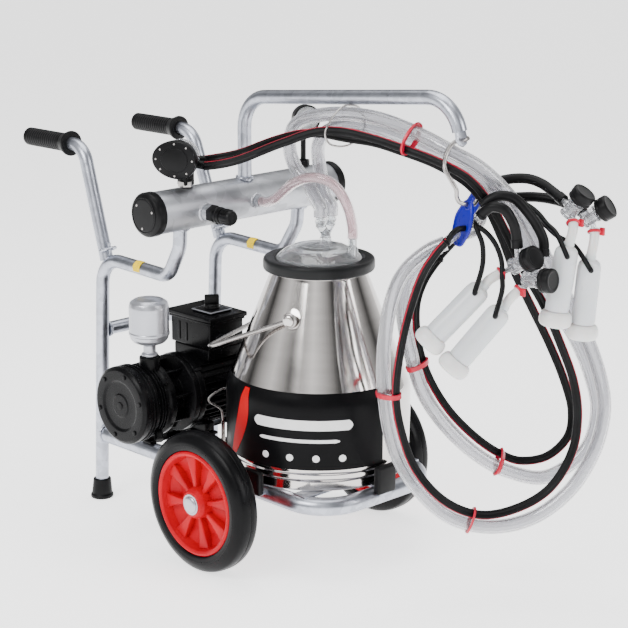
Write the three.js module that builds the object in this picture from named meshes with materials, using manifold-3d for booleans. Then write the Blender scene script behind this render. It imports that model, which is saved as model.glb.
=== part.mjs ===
// Portable milking machine for small stock: a two-wheeled tube cart that carries a motor and vane
// pump, a vacuum tank, a milk bucket, and two clusters of two teat cups on their hoses.
// Millimetres, +Z up. +X points from the handles to the hoses, +Y to the far side.
// The origin is on the floor, under the middle of the machine's length and width. Positions below
// are measured from the rear legs and the bucket's centre plane, and the whole machine is then
// moved by ORIGIN_X and ORIGIN_Y.
import * as THREE from 'three';
import { mergeVertices } from 'three/addons/utils/BufferGeometryUtils.js';
import Module from 'manifold-3d';

const wasm = await Module();
wasm.setup();

// ---------- driving dimensions ----------
const GAP = 0.3;                 // clearance between pieces that touch
const ORIGIN_X = 355.28;         // half way from the handle ends to the furthest valve cap
const ORIGIN_Y = -16.5;          // half way across the machine, which reaches further on the near side

const TUBE_R = 12.5;             // frame tube
const TRACK = 140;               // side frame to centre plane
const FOOT_X = -20;              // rear leg at the floor
const TOP_RAIL_Z = 478;          // level run of the side frames
const GRIP_Z = 678;
const GRIP_END_X = -226;
const GRIP_START_X = -92;
const GRIP_Y = 132;              // handles lean in a little
const GRIP_R = 17;
const COLLAR_R = 23.5;
const CROSS_Z = 335;
const CROSS_X = -7;

const LOOP_R = 16;               // lower loop, a heavier tube
const RAIL_Z = 131.5;
const LOOP_FRONT_X = 588;
const LOOP_CORNER_R = 75;

const TANK_X = 235;
const TANK_Z = 604;
const TANK_R = 37.5;
const TANK_HALF = 214;           // half length of the metal tube
const CAP_R = 39.5;

const ARCH_X = 241;

const WHEEL_X = 388;
const WHEEL_R = 125;
const NEAR_WHEEL_OUT = 266;      // outer face of the hub, clear of the pump
const FAR_WHEEL_OUT = 220;
const TYRE_W = 50;
const RIM_R = 93;

const BUCKET_X = 432;
const BUCKET_Z = 149;            // underside of the foot ring
const BUCKET_R = 163;
const BUCKET_TOP = 514;          // rim under the gasket
const FOOT_RING_R = 150;
const NECK_R = 84;
const GASKET_R = 98;
const GASKET_TOP = 530;

const PUMP_X = 180;
const PUMP_Z = 252;
const PUMP_FACE_Y = -250;
const PUMP_R = 69;
const MOTOR_R = 66;
const MOTOR_START_Y = -118;
const MOTOR_END_Y = 96;
const SHAFT_R = 9;

const MILK_HOSE_R = 12;
const VACUUM_HOSE_R = 9;
const TWIN_W = 15;
const TWIN_H = 7.5;

// ---------- materials ----------
const finish = (color, roughness, metalness) => ({ color, roughness, metalness });
const STEEL = finish(0xb9bcc4, 0.35, 0.9);
const STAINLESS = finish(0xd4d2cf, 0.18, 1.0);
const BLACK_PAINT = finish(0x111113, 0.35, 0.2);
const BLACK_PLASTIC = finish(0x141416, 0.4, 0.0);
const RUBBER = finish(0x1b1b1c, 0.7, 0.0);
const GASKET_RUBBER = finish(0x3b3f40, 0.6, 0.0);
const RED_PLASTIC = finish(0xd81f26, 0.35, 0.0);
const CLEAR = finish(0xdfe3e6, 0.1, 0.0);
const PINK_CLEAR = finish(0xe6c6c6, 0.15, 0.0);
const MILKY = finish(0xe9e7e4, 0.35, 0.0);
const BLUE_PLASTIC = finish(0x2a2ccf, 0.3, 0.0);
const WHITE = finish(0xf2f2f0, 0.4, 0.0);
const RED = finish(0xd0121b, 0.3, 0.0);

const machine = new THREE.Group();

function addPart(name, geometry, look) {
  const mesh = new THREE.Mesh(geometry, new THREE.MeshStandardMaterial(look));
  mesh.name = name;
  machine.add(mesh);
}

// ---------- solids and booleans ----------
function bare(geometry) {
  const copy = geometry.clone();
  copy.deleteAttribute('normal');
  copy.deleteAttribute('uv');
  copy.clearGroups();
  return mergeVertices(copy, 1e-3);
}

function toSolid(geometry) {
  const merged = bare(geometry);
  const vertProperties = Float32Array.from(merged.attributes.position.array);
  const triVerts = Uint32Array.from(merged.index.array);
  return new wasm.Manifold(new wasm.Mesh({ numProp: 3, vertProperties, triVerts }));
}

function toGeometry(solid) {
  const mesh = solid.getMesh();
  const geometry = new THREE.BufferGeometry();
  geometry.setAttribute('position', new THREE.BufferAttribute(mesh.vertProperties, 3));
  geometry.setIndex(new THREE.BufferAttribute(mesh.triVerts, 1));
  return geometry;
}

function join(...geometries) {
  let solid = toSolid(geometries[0]);
  for (const geometry of geometries.slice(1)) {
    solid = solid.add(toSolid(geometry));
  }
  return toGeometry(solid);
}

function cut(geometry, ...cutters) {
  let solid = toSolid(geometry);
  for (const cutter of cutters) {
    solid = solid.subtract(toSolid(cutter));
  }
  return toGeometry(solid);
}

// Radius of an n-sided bore that stays clear of a round piece of the given radius.
const hug = (radius, sides) => (radius + GAP) / Math.cos(Math.PI / sides);

const vec = (p) => new THREE.Vector3(p[0], p[1], p[2]);
const moved = (geometry, x, y, z) => geometry.translate(x, y, z);

function box(sizeX, sizeY, sizeZ, x, y, z) {
  return moved(new THREE.BoxGeometry(sizeX, sizeY, sizeZ), x, y, z);
}

// Turns a shape made along +Z so that +Z points along a direction, and puts it at a point.
function aim(geometry, from, direction) {
  const turn = new THREE.Quaternion().setFromUnitVectors(new THREE.Vector3(0, 0, 1),
    vec(direction).normalize());
  geometry.applyQuaternion(turn);
  return geometry.translate(from[0], from[1], from[2]);
}

// A body of revolution from [radius, height] pairs, axis along +Z.
function lathe(profile, segments) {
  const points = profile.map((p) => new THREE.Vector2(p[0], p[1]));
  const geometry = new THREE.LatheGeometry(points, segments);
  return geometry.rotateX(Math.PI / 2);
}

// The point a little way back from an end, on the line from a start.
function shortOf(start, end, back) {
  const line = vec(end).sub(vec(start));
  return vec(end).addScaledVector(line.normalize(), -back).toArray();
}

// A solid rod from one point to another.
function rod(from, to, radius, segments = 12) {
  const length = vec(to).distanceTo(vec(from));
  const profile = [[0, 0], [radius, 0], [radius, length], [0, length]];
  const direction = [to[0] - from[0], to[1] - from[1], to[2] - from[2]];
  return aim(lathe(profile, segments), from, direction);
}

// A curve that passes through ring positions exactly, so a swept tube has a ring at each.
class KnotCurve extends THREE.Curve {
  constructor(knots) {
    super();
    this.knots = knots;
  }

  getPoint(t) {
    const place = Math.min(Math.max(t, 0), 1) * (this.knots.length - 1);
    const index = Math.min(Math.floor(place), this.knots.length - 2);
    return this.knots[index].clone().lerp(this.knots[index + 1], place - index);
  }

  getPointAt(t) {
    return this.getPoint(t);
  }

  getTangentAt(t) {
    return this.getTangent(t);
  }
}

function sweep(curve, steps, section) {
  return new THREE.ExtrudeGeometry(section, { steps, bevelEnabled: false, extrudePath: curve });
}

function disc(radius, sides) {
  const shape = new THREE.Shape();
  for (let i = 0; i < sides; i += 1) {
    const angle = (2 * Math.PI * i) / sides;
    const x = radius * Math.cos(angle);
    const y = radius * Math.sin(angle);
    if (i === 0) shape.moveTo(x, y);
    else shape.lineTo(x, y);
  }
  shape.closePath();
  return shape;
}

// Straight runs between corner points, each inner corner rounded to its own radius.
function bentKnots(corners, radii, arcSteps = 5) {
  const points = corners.map(vec);
  const knots = [points[0]];
  for (let i = 1; i < points.length - 1; i += 1) {
    const before = points[i - 1].clone().sub(points[i]).normalize();
    const after = points[i + 1].clone().sub(points[i]).normalize();
    const half = before.angleTo(after) / 2;
    const reach = radii[i - 1] / Math.tan(half);
    const centre = before.clone().add(after).normalize()
      .multiplyScalar(radii[i - 1] / Math.sin(half)).add(points[i]);
    const start = points[i].clone().addScaledVector(before, reach).sub(centre);
    const end = points[i].clone().addScaledVector(after, reach).sub(centre);
    const sweepAngle = start.angleTo(end);
    const axis = start.clone().cross(end).normalize();
    for (let k = 0; k <= arcSteps; k += 1) {
      knots.push(start.clone().applyAxisAngle(axis, (sweepAngle * k) / arcSteps).add(centre));
    }
  }
  knots.push(points[points.length - 1]);
  return knots;
}

function bentTube(corners, radii, radius, sides = 10, arcSteps = 4) {
  const knots = bentKnots(corners, radii, arcSteps);
  return sweep(new KnotCurve(knots), knots.length - 1, disc(radius, sides));
}

// A hose through hand-placed route points.
function hose(route, steps, section) {
  const curve = new THREE.CatmullRomCurve3(route.map(vec), false, 'centripetal');
  return sweep(curve, steps, section);
}

// ---------- cart frame ----------
const legX = (z) => FOOT_X + (z / TOP_RAIL_Z) * 22;

function tankSleeve() {
  return rod([TANK_X, -TANK_HALF, TANK_Z], [TANK_X, TANK_HALF, TANK_Z], TANK_R + GAP, 24);
}

// Leg, level rail and riser of one side as one bent tube, with its handle welded on behind.
function sideFrame(side) {
  const y = side * TRACK;
  const corners = [
    [legX(8), y, 8],
    [legX(TOP_RAIL_Z), y, TOP_RAIL_Z],
    [191, y, TOP_RAIL_Z - 5],
    [227, side * (TRACK + 3), 533],
    [230, side * (TRACK + 4), TANK_Z - 20],
  ];
  const tube = cut(bentTube(corners, [52, 36, 50], TUBE_R), tankSleeve());
  const handle = bentTube([
    [22, y, TOP_RAIL_Z + 2],
    [-57, side * (GRIP_Y + 1), GRIP_Z],
    [GRIP_END_X + 8, side * GRIP_Y, GRIP_Z - 2],
  ], [42], TUBE_R);
  const gusset = box(34, 4, 30, 14, y, TOP_RAIL_Z + 22);
  return join(tube, handle, gusset);
}

// Bore of a rubber piece that is pushed over the frame tube.
const SLEEVE_R = hug(TUBE_R, 14) + GAP;

// A rubber cup on the end of each leg, cut flat where it meets the floor.
function foot(side) {
  const direction = [legX(100) - legX(0), 0, 100];
  const base = [legX(0), side * TRACK, 0];
  const outer = aim(lathe([[0, -4], [21.5, -4], [21, 6], [17, 38], [0, 38]], 16), base, direction);
  const hole = lathe([[0, 6], [SLEEVE_R, 6], [SLEEVE_R, 60], [0, 60]], 14);
  const floor = box(80, 80, 20, FOOT_X, side * TRACK, -10);
  return cut(outer, aim(hole, base, direction), floor);
}

// A ribbed rubber grip with a round collar, closed at its end.
function grip(side) {
  const length = GRIP_START_X - GRIP_END_X;
  const profile = [
    [0, 0], [GRIP_R - 3, 0], [GRIP_R, 3], [GRIP_R, length - 22], [COLLAR_R, length - 5],
    [COLLAR_R, length], [SLEEVE_R, length], [SLEEVE_R, 5], [0, 5],
  ];
  const direction = [length, 0, 1.7];
  return aim(lathe(profile, 14), [GRIP_END_X, side * GRIP_Y, GRIP_Z - 2.1], direction);
}

// Brace between the rear legs.
function crossTube() {
  const reach = TRACK - TUBE_R - GAP;
  return rod([CROSS_X, -reach, CROSS_Z], [CROSS_X, reach, CROSS_Z], TUBE_R);
}

// Lower loop round the bucket, its rest bars, the two stop blocks and the two axle stubs.
function baseFrame() {
  const startX = legX(RAIL_Z) + TUBE_R + GAP;
  const loop = bentTube([
    [startX, -TRACK, RAIL_Z],
    [LOOP_FRONT_X, -TRACK, RAIL_Z],
    [LOOP_FRONT_X, TRACK, RAIL_Z],
    [startX, TRACK, RAIL_Z],
  ], [LOOP_CORNER_R, LOOP_CORNER_R], LOOP_R, 12, 5);
  const barTop = BUCKET_Z - GAP;
  const rearBarX = 330;
  const frontBarX = 530;
  const barW = 30;
  const parts = [loop];
  for (const x of [rearBarX, frontBarX]) {
    parts.push(box(barW, 2 * TRACK + 6, 5, x, 0, barTop - 2.5));
  }
  const middleBar = LOOP_FRONT_X - rearBarX + 18;
  parts.push(box(middleBar, barW, 5, LOOP_FRONT_X + 8 - middleBar / 2, 0, barTop - 2.5));
  for (const side of [-1, 1]) {
    parts.push(box(46, 6, 46, WHEEL_X, side * (TRACK + LOOP_R - 2), WHEEL_R));
    const stubEnd = [WHEEL_X, side * (wheelOut(side) - 6), WHEEL_R];
    parts.push(rod([WHEEL_X, side * TRACK, WHEEL_R], stubEnd, 10, 16));
  }
  const blockT = 14;
  const blockAt = BUCKET_R + 2 + blockT / 2;
  const sideBlockX = BUCKET_X + 14;
  parts.push(box(blockT, 44, 50, BUCKET_X + blockAt, -8, RAIL_Z + 33));
  parts.push(box(44, blockT, 44, sideBlockX, -blockAt, RAIL_Z + 28));
  parts.push(box(30, 30, 8, sideBlockX, -TRACK - 18, RAIL_Z + 8));
  return join(...parts);
}

// Hose arch over the tank, with a flat tongue and eyelet at its free end.
function arch() {
  const tube = bentTube([
    [ARCH_X, 0, TANK_Z + 10],
    [ARCH_X, 0, 787],
    [733, 0, 838],
    [750, 0, 785],
  ], [60, 66], TUBE_R, 10, 5);
  const tongue = new THREE.BoxGeometry(5, 26, 40);
  tongue.rotateY(-0.29);
  const hole = rod([735, 0, 772], [775, 0, 772], 4.6, 12);
  return cut(join(tube, moved(tongue, 752, 0, 781)), hole, tankSleeve());
}

// ---------- wheels ----------
const wheelAxis = (side) => [0, side, 0];
const wheelOut = (side) => (side < 0 ? NEAR_WHEEL_OUT : FAR_WHEEL_OUT);

// Tyre: crowned tread with upright side walls, sitting on the rim.
function tyre(side) {
  const half = TYRE_W / 2;
  const inner = hug(RIM_R, 26);
  const profile = [
    [inner, -half + 3], [102, -half], [115, -half + 3], [WHEEL_R, -9], [WHEEL_R, 9],
    [115, half - 3], [102, half], [inner, half - 3], [inner, -half + 3],
  ];
  return aim(lathe(profile, 26), [WHEEL_X, side * (wheelOut(side) - half - 4), WHEEL_R], wheelAxis(side));
}

// Plastic rim: flanged band, dished web with raised ribs, and a long hub on the axle stub.
function rim(side) {
  const half = TYRE_W / 2;
  const bore = 10.6;
  const ring = lathe([
    [bore, -22], [19, -22], [19, -4], [78, -10], [84, -half + 3], [RIM_R, -half + 3],
    [RIM_R, half - 3], [84, half - 3], [79, 0], [24, 4], [22, half + 2], [bore, half + 2], [bore, -22],
  ], 20);
  const parts = [ring];
  const ribs = 8;
  for (let i = 0; i < ribs; i += 1) {
    const rib = new THREE.BoxGeometry(64, 5, 14);
    rib.translate(50, 0, 5);
    rib.rotateZ(0.25 + (2 * Math.PI * i) / ribs);
    parts.push(rib);
  }
  const solid = join(...parts);
  return aim(solid, [WHEEL_X, side * (wheelOut(side) - half - 4), WHEEL_R], wheelAxis(side));
}

// ---------- vacuum tank and its fittings ----------
const FITTING_GAP = 1;           // fittings stand this far off the top of the faceted tank
const NOZZLE_Y = 0;
const REG_Y = -120;
const REG_Z = TANK_Z - 5;
const REG_START_X = TANK_X + 52 + GAP;
const PULSATOR_Y = -134;
const GAUGE_Y = 158;

// Open-ended tube with a hose nozzle and a regulator nozzle on its front.
function tank() {
  const body = rod([TANK_X, -TANK_HALF, TANK_Z], [TANK_X, TANK_HALF, TANK_Z], TANK_R, 24);
  const hoseNozzle = rod([TANK_X, NOZZLE_Y, TANK_Z], [TANK_X + 50, NOZZLE_Y, TANK_Z], 11, 14);
  const regNozzle = rod([TANK_X, REG_Y, REG_Z], [TANK_X + 52, REG_Y, REG_Z], 14, 14);
  const bore = rod([TANK_X, -TANK_HALF - 5, TANK_Z], [TANK_X, TANK_HALF + 5, TANK_Z], TANK_R - 3, 16);
  return cut(join(body, hoseNozzle, regNozzle), bore);
}

// Moulded cap that slips over the end of the tank.
function tankCap(side) {
  const inner = hug(TANK_R, 20);
  const profile = [
    [0, 17], [28, 17], [37, 14], [CAP_R, 10], [CAP_R, -5], [inner, -5], [inner, GAP], [0, GAP],
  ];
  profile.reverse();
  return aim(lathe(profile, 20), [TANK_X, side * TANK_HALF, TANK_Z], [0, side, 0]);
}

// Square neck on the tank and a round chamber behind the cover.
const PULSATOR_FACE = [0.42, -0.91, 0];
const PULSATOR_Z = 692;
const COVER_SEAT = [TANK_X + 2, PULSATOR_Y - 19];    // middle of the cover's back face

function pulsatorBody() {
  const top = TANK_Z + TANK_R;
  const neck = box(24, 24, 34, TANK_X, PULSATOR_Y, top + 21);
  const nut = rod([TANK_X, PULSATOR_Y, top + FITTING_GAP], [TANK_X, PULSATOR_Y, top + 10], 14, 6);
  const [seatX, seatY] = COVER_SEAT;
  const depth = 30;
  const back = [
    seatX - depth * PULSATOR_FACE[0],
    seatY - depth * PULSATOR_FACE[1],
    PULSATOR_Z + 2,
  ];
  const chamber = rod(back, [seatX, seatY, PULSATOR_Z + 2], 32, 20);
  const portZ = PULSATOR_Z - 8;
  const port = rod([TANK_X, PULSATOR_Y + 4, portZ], [TANK_X + 26, PULSATOR_Y + 14, portZ], 8, 10);
  return join(neck, nut, chamber, port);
}

// Egg-shaped cover plate with a bevelled face; its long end points back to the handles.
function pulsatorCover() {
  const outline = [];
  const steps = 24;
  for (let i = 0; i < steps; i += 1) {
    const angle = (2 * Math.PI * i) / steps;
    const reach = Math.cos(angle) > 0 ? 33 : 48;
    outline.push(new THREE.Vector2(6 + reach * Math.cos(angle), 2 + 33 * Math.sin(angle)));
  }
  const shape = new THREE.Shape(outline);
  const plate = new THREE.ExtrudeGeometry(shape, {
    depth: 14, steps: 1, bevelEnabled: true, bevelThickness: 3, bevelSize: 2,
    bevelSegments: 1,
  });
  plate.rotateX(Math.PI / 2);
  plate.rotateZ(Math.atan2(PULSATOR_FACE[0], -PULSATOR_FACE[1]));
  const ahead = 1.2 + 3;
  const [seatX, seatY] = COVER_SEAT;
  return moved(plate, seatX + ahead * PULSATOR_FACE[0], seatY + ahead * PULSATOR_FACE[1],
    PULSATOR_Z);
}

function regulatorBody() {
  const at = (reach) => [REG_START_X + reach, REG_Y, REG_Z];
  const nut = rod(at(0), at(16), 17, 6);
  const barrel = rod(at(14), at(30), 14.5, 16);
  const stem = rod(at(30), at(44), 5, 10);
  return join(nut, barrel, stem);
}

function regulatorKnob() {
  const x = REG_START_X + 31;
  const profile = [[5.1, 0], [13.5, 0], [13.5, 20], [11, 24], [0, 24], [0, 14], [5.1, 14], [5.1, 0]];
  const body = aim(lathe(profile, 16), [x, REG_Y, REG_Z], [1, 0, 0]);
  const parts = [body];
  for (let i = 0; i < 8; i += 1) {
    const angle = (2 * Math.PI * i) / 8;
    const rib = new THREE.BoxGeometry(18, 2.4, 2.4);
    const y = REG_Y + 13.6 * Math.cos(angle);
    parts.push(moved(rib, x + 10, y, REG_Z + 13.6 * Math.sin(angle)));
  }
  return join(...parts);
}

const GAUGE_Z = 731;
const GAUGE_X = TANK_X;
const GAUGE_STEM_X = GAUGE_X - 6;    // keeps the stem behind the dial
const GAUGE_AIM = [0.9, -0.44, 0];

function gaugeCase() {
  const cup = lathe([[0, -14], [22, -14], [26, -10], [26, 12], [23.5, 12], [23.5, 0], [0, 0]], 16);
  const pin = lathe([[0, -1], [2.2, -1], [2.2, 5], [0, 5]], 10);
  const head = aim(join(cup, pin), [GAUGE_X, GAUGE_Y, GAUGE_Z], GAUGE_AIM);
  const top = TANK_Z + TANK_R;
  const stemFoot = [GAUGE_STEM_X, GAUGE_Y, top + FITTING_GAP];
  const stem = rod(stemFoot, [GAUGE_STEM_X, GAUGE_Y, GAUGE_Z - 15], 5, 12);
  const nut = rod(stemFoot, [GAUGE_STEM_X, GAUGE_Y, top + 12], 12, 6);
  return join(head, stem, nut);
}

function gaugeNeedle() {
  const hub = lathe([[2.3, 1], [4.2, 1], [4.2, 4], [2.3, 4], [2.3, 1]], 12);
  const hand = new THREE.BoxGeometry(1.6, 17, 1.2);
  const needle = join(hub, moved(hand, 0, 11.8, 2.5));
  needle.rotateZ(2.3);
  return aim(needle, [GAUGE_X, GAUGE_Y, GAUGE_Z], GAUGE_AIM);
}

// ---------- motor and pump ----------
const driveAxis = (from, to) => [[PUMP_X, from, PUMP_Z], [PUMP_X, to, PUMP_Z]];

// Lathe along the drive axis; heights are Y positions.
function driveLathe(profile, segments) {
  return aim(lathe(profile, segments), [PUMP_X, 0, PUMP_Z], [0, 1, 0]);
}

const BOX_BOTTOM = PUMP_Z + MOTOR_R + 13 + GAP;
const BOX_TOP = 392;
const BOX_Y = -41;
const FEET_Y = [-84, 56];
const MOUNT_TOP = 178;

// Two flat rails across the loop, each foot of the motor on a folded saddle between them.
function motorMount() {
  const parts = [];
  const railTop = RAIL_Z + LOOP_R + GAP;
  const railsX = [PUMP_X - 50, PUMP_X + 50];
  for (const y of FEET_Y) {
    parts.push(box(120, 30, 5, PUMP_X, y, MOUNT_TOP - 2.5));
    for (const x of railsX) {
      parts.push(box(5, 30, 27, x, y, MOUNT_TOP - 16.5));
    }
  }
  for (const x of railsX) {
    parts.push(box(30, 2 * TRACK + 24, 4, x, 0, railTop + 2));
  }
  return join(...parts);
}

// Ribbed shell with a flange at the pump, a vented fan end, feet and a seat for the terminal box.
function motorHousing() {
  const shell = driveLathe([
    [MOTOR_R + 6, MOTOR_START_Y], [MOTOR_R + 6, MOTOR_START_Y + 12], [MOTOR_R, MOTOR_START_Y + 14],
    [MOTOR_R, 62], [MOTOR_R + 2, 64], [MOTOR_R + 2, 88], [MOTOR_R - 8, MOTOR_END_Y],
    [24, MOTOR_END_Y], [24, MOTOR_END_Y - 4], [MOTOR_R - 10, MOTOR_END_Y - 5], [MOTOR_R - 5, 84],
    [MOTOR_R - 5, MOTOR_START_Y], [MOTOR_R + 6, MOTOR_START_Y],
  ], 20);
  const parts = [shell];
  const fins = 10;
  const finR = MOTOR_R + 1;
  for (let i = 0; i < fins; i += 1) {
    const angle = (2 * Math.PI * i) / fins + 0.1;
    const fin = new THREE.BoxGeometry(8, 150, 2.4).rotateY(-angle);
    parts.push(moved(fin, PUMP_X + finR * Math.cos(angle), -26, PUMP_Z + finR * Math.sin(angle)));
  }
  for (const y of FEET_Y) {
    parts.push(box(110, 22, 19, PUMP_X, y, MOUNT_TOP + GAP + 9.5));
  }
  const top = PUMP_Z + MOTOR_R;
  parts.push(box(92, 76, 20, PUMP_X, BOX_Y + 1, top + 3));
  const inside = driveLathe([[0, -116], [MOTOR_R - 5, -116], [MOTOR_R - 5, 80], [0, 80]], 20);
  return cut(join(...parts), inside);
}

const SWITCH_X = PUMP_X + 14;
const SPINDLE_BORE = 4.3;

function terminalBox() {
  const height = BOX_TOP - 6 - BOX_BOTTOM;
  const base = box(108, 82, height, PUMP_X, BOX_Y, BOX_BOTTOM + height / 2);
  const lid = box(122, 92, 8, PUMP_X, BOX_Y, BOX_TOP - 4);
  const plate = box(52, 52, 5, SWITCH_X, BOX_Y, BOX_TOP + 2);
  const spindle = rod([SWITCH_X, BOX_Y, BOX_TOP], [SWITCH_X, BOX_Y, BOX_TOP + 14], 4, 10);
  return join(base, lid, plate, spindle);
}

// Round skirt with a ridge across it, on the spindle.
function switchKnob() {
  const bore = SPINDLE_BORE;
  const skirt = lathe([[bore, 0], [14, 0], [13, 8], [bore, 8], [bore, 0]], 12);
  const bridge = lathe([[bore, 6], [10, 6], [9, 12], [bore, 12], [bore, 6]], 12);
  const crown = lathe([[0, 10.5], [9, 10.5], [9, 14], [0, 14]], 12);
  const hole = lathe([[0, -5], [bore, -5], [bore, 10.5], [0, 10.5]], 12);
  const blade = cut(new THREE.BoxGeometry(26, 9, 20).translate(0, 0, 16), hole);
  const knob = join(skirt, bridge, crown, blade).rotateZ(0.9);
  return moved(knob, SWITCH_X, BOX_Y, BOX_TOP + 4.5 + GAP);
}

// Rotor pack, shaft and cooling fan; the shaft runs on into the pump.
function motorRotor() {
  const parts = [
    rod(...driveAxis(-226, 90), SHAFT_R, 14),
    driveLathe([[0, -80], [42, -80], [42, 40], [0, 40]], 16),
    driveLathe([[0, 68], [20, 68], [20, 84], [0, 84]], 12),
  ];
  for (let i = 0; i < 6; i += 1) {
    const blade = new THREE.BoxGeometry(34, 14, 3);
    blade.translate(34, 76, 0).rotateY((Math.PI * i) / 3);
    parts.push(moved(blade, PUMP_X, 0, PUMP_Z));
  }
  return join(...parts);
}

const BORE_OFFSET = 6;           // the pump bore is eccentric to the shaft
const BORE_R = 48;
const BORE_Y = [-234, -176];
const OUTLET = [PUMP_X + 12, -188];

// Finned pump casing with a vane bore, a bell neck towards the motor, ports and a foot.
function pumpBody() {
  const casing = driveLathe([
    [12, BORE_Y[0]], [PUMP_R, BORE_Y[0]], [PUMP_R, -212], [PUMP_R - 5, -208], [PUMP_R - 5, -186],
    [PUMP_R - 2, -182], [PUMP_R - 2, -172], [46, -160], [44, -136], [MOTOR_R + 5, -130],
    [MOTOR_R + 5, MOTOR_START_Y - GAP], [12, MOTOR_START_Y - GAP], [12, BORE_Y[0]],
  ], 20);
  const parts = [casing];
  const fins = 8;
  const finR = 52;
  for (let i = 0; i < fins; i += 1) {
    const angle = (2 * Math.PI * i) / fins + 0.2;
    const fin = new THREE.BoxGeometry(18, 44, 3).rotateY(-angle);
    parts.push(moved(fin, PUMP_X + finR * Math.cos(angle), -151, PUMP_Z + finR * Math.sin(angle)));
  }
  parts.push(rod([...OUTLET, PUMP_Z + 40], [...OUTLET, PUMP_Z + 84], 19, 18));
  parts.push(rod([PUMP_X + 40, -196, PUMP_Z - 40], [PUMP_X + 62, -210, PUMP_Z - 62], 8, 12));
  const bore = rod([PUMP_X, BORE_Y[0] - 5, PUMP_Z + BORE_OFFSET], [PUMP_X, BORE_Y[1], PUMP_Z + BORE_OFFSET],
    BORE_R, 18);
  const shaftHole = rod(...driveAxis(-240, -110), 12, 20);
  const outlet = rod([...OUTLET, PUMP_Z + 30], [...OUTLET, PUMP_Z + 90], 8, 12);
  return cut(join(...parts), bore, shaftHole, outlet);
}

function pumpCover() {
  const profile = [
    [0, PUMP_FACE_Y + 2], [44, PUMP_FACE_Y + 2], [48, PUMP_FACE_Y], [PUMP_R - 4, PUMP_FACE_Y],
    [PUMP_R + 2, PUMP_FACE_Y + 5], [PUMP_R + 2, BORE_Y[0] - GAP], [0, BORE_Y[0] - GAP],
  ];
  return driveLathe(profile, 20);
}

// Slotted rotor keyed on the shaft, with its four vanes.
function pumpRotor() {
  const ring = driveLathe([
    [SHAFT_R + 0.4, BORE_Y[0] + 1.2], [41, BORE_Y[0] + 1.2], [41, BORE_Y[1] - 1.2],
    [SHAFT_R + 0.4, BORE_Y[1] - 1.2], [SHAFT_R + 0.4, BORE_Y[0] + 1.2],
  ], 16);
  const slots = [];
  for (let i = 0; i < 4; i += 1) {
    const slot = new THREE.BoxGeometry(26, 80, 4);
    slot.translate(32, (BORE_Y[0] + BORE_Y[1]) / 2, 0).rotateY((Math.PI * i) / 2 + 0.4);
    slots.push(moved(slot, PUMP_X, 0, PUMP_Z));
  }
  return cut(ring, ...slots);
}

function muffler() {
  const bottom = PUMP_Z + 84 + GAP;
  const profile = [
    [0, 0], [15, 0], [15, 5], [11, 7], [11, 21], [24, 24], [34, 32], [36.5, 40],
    [36.5, 92], [34, 99], [20, 105], [0, 107],
  ];
  return moved(lathe(profile, 18), ...OUTLET, bottom);
}

// ---------- bucket, lid and bail ----------
const EAR = [0.364, -0.931];     // direction of the near ear from the bucket axis
const EAR_REACH = 122;
const EAR_Z = 442;

function bucket() {
  const wall = 3;
  const shoulder = BUCKET_R - wall;
  const profile = [
    [FOOT_RING_R - 8, BUCKET_Z], [FOOT_RING_R, BUCKET_Z], [FOOT_RING_R, 168], [157, 172],
    [157, 182], [BUCKET_R, 188], [BUCKET_R, 300], [155, 322], [NECK_R, 502], [NECK_R, 508],
    [88, BUCKET_TOP], [83, BUCKET_TOP], [NECK_R - wall, 502], [155 - wall, 321], [shoulder, 299],
    [shoulder, 192], [150, 187], [0, 184], [0, 180], [FOOT_RING_R - 8, 177],
    [FOOT_RING_R - 8, BUCKET_Z],
  ];
  const shell = moved(lathe(profile, 24), BUCKET_X, 0, 0);
  const parts = [shell];
  for (const side of [1, -1]) {
    const ear = new THREE.BoxGeometry(30, 7, 26);
    ear.rotateZ(Math.atan2(EAR[1], EAR[0]) + Math.PI / 2);
    parts.push(moved(ear, BUCKET_X + side * 112 * EAR[0], side * 112 * EAR[1], EAR_Z - 2));
    const pinEnd = side * (EAR_REACH + 6);
    const from = [BUCKET_X + side * 108 * EAR[0], side * 108 * EAR[1], EAR_Z];
    const to = [BUCKET_X + pinEnd * EAR[0], pinEnd * EAR[1], EAR_Z];
    parts.push(rod(from, to, 7, 12));
  }
  return join(...parts);
}

const BAIL_R = 4;
const BAIL_DROP = 22.6 * (Math.PI / 180);
const BAIL_LENGTH = 176;

// Wire bail that leans back from the ears, with an eye at each end.
function bail() {
  const back = [EAR[1] * Math.cos(BAIL_DROP), -EAR[0] * Math.cos(BAIL_DROP), -Math.sin(BAIL_DROP)];
  const at = (side, reach, along) => [
    BUCKET_X + side * reach * EAR[0] + along * back[0],
    side * reach * EAR[1] + along * back[1],
    EAR_Z + along * back[2],
  ];
  const reach = EAR_REACH;
  const wire = bentTube([
    at(1, reach, 9), at(1, reach, BAIL_LENGTH), at(-1, reach, BAIL_LENGTH), at(-1, reach, 9),
  ], [26, 26], BAIL_R, 8, 2);
  const parts = [wire];
  for (const side of [1, -1]) {
    const eye = lathe([[8, -4], [13, -4], [13, 4], [8, 4], [8, -4]], 10);
    parts.push(aim(eye, at(side, reach, 0), [EAR[0], EAR[1], 0]));
  }
  return join(...parts);
}

function lidGasket() {
  const bottom = BUCKET_TOP - 3;
  const inner = 60;
  const lip = hug(88, 20);
  const profile = [
    [lip, bottom - 3], [GASKET_R - 1, bottom - 3], [GASKET_R, bottom], [GASKET_R, GASKET_TOP - 3],
    [GASKET_R - 3, GASKET_TOP], [79, GASKET_TOP], [76, GASKET_TOP - 6], [inner, GASKET_TOP - 6],
    [inner, BUCKET_TOP + GAP], [lip, BUCKET_TOP + GAP], [lip, bottom - 3],
  ];
  return moved(lathe(profile, 20), BUCKET_X, 0, 0);
}

const MILK_NOZZLE = [432, 16];
const VACUUM_NOZZLE = [492, 22];
const HOSE_SPREAD = 13;          // each milk hose to the milk nozzle, in Y
const Y_TOP = 597.5;

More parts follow.
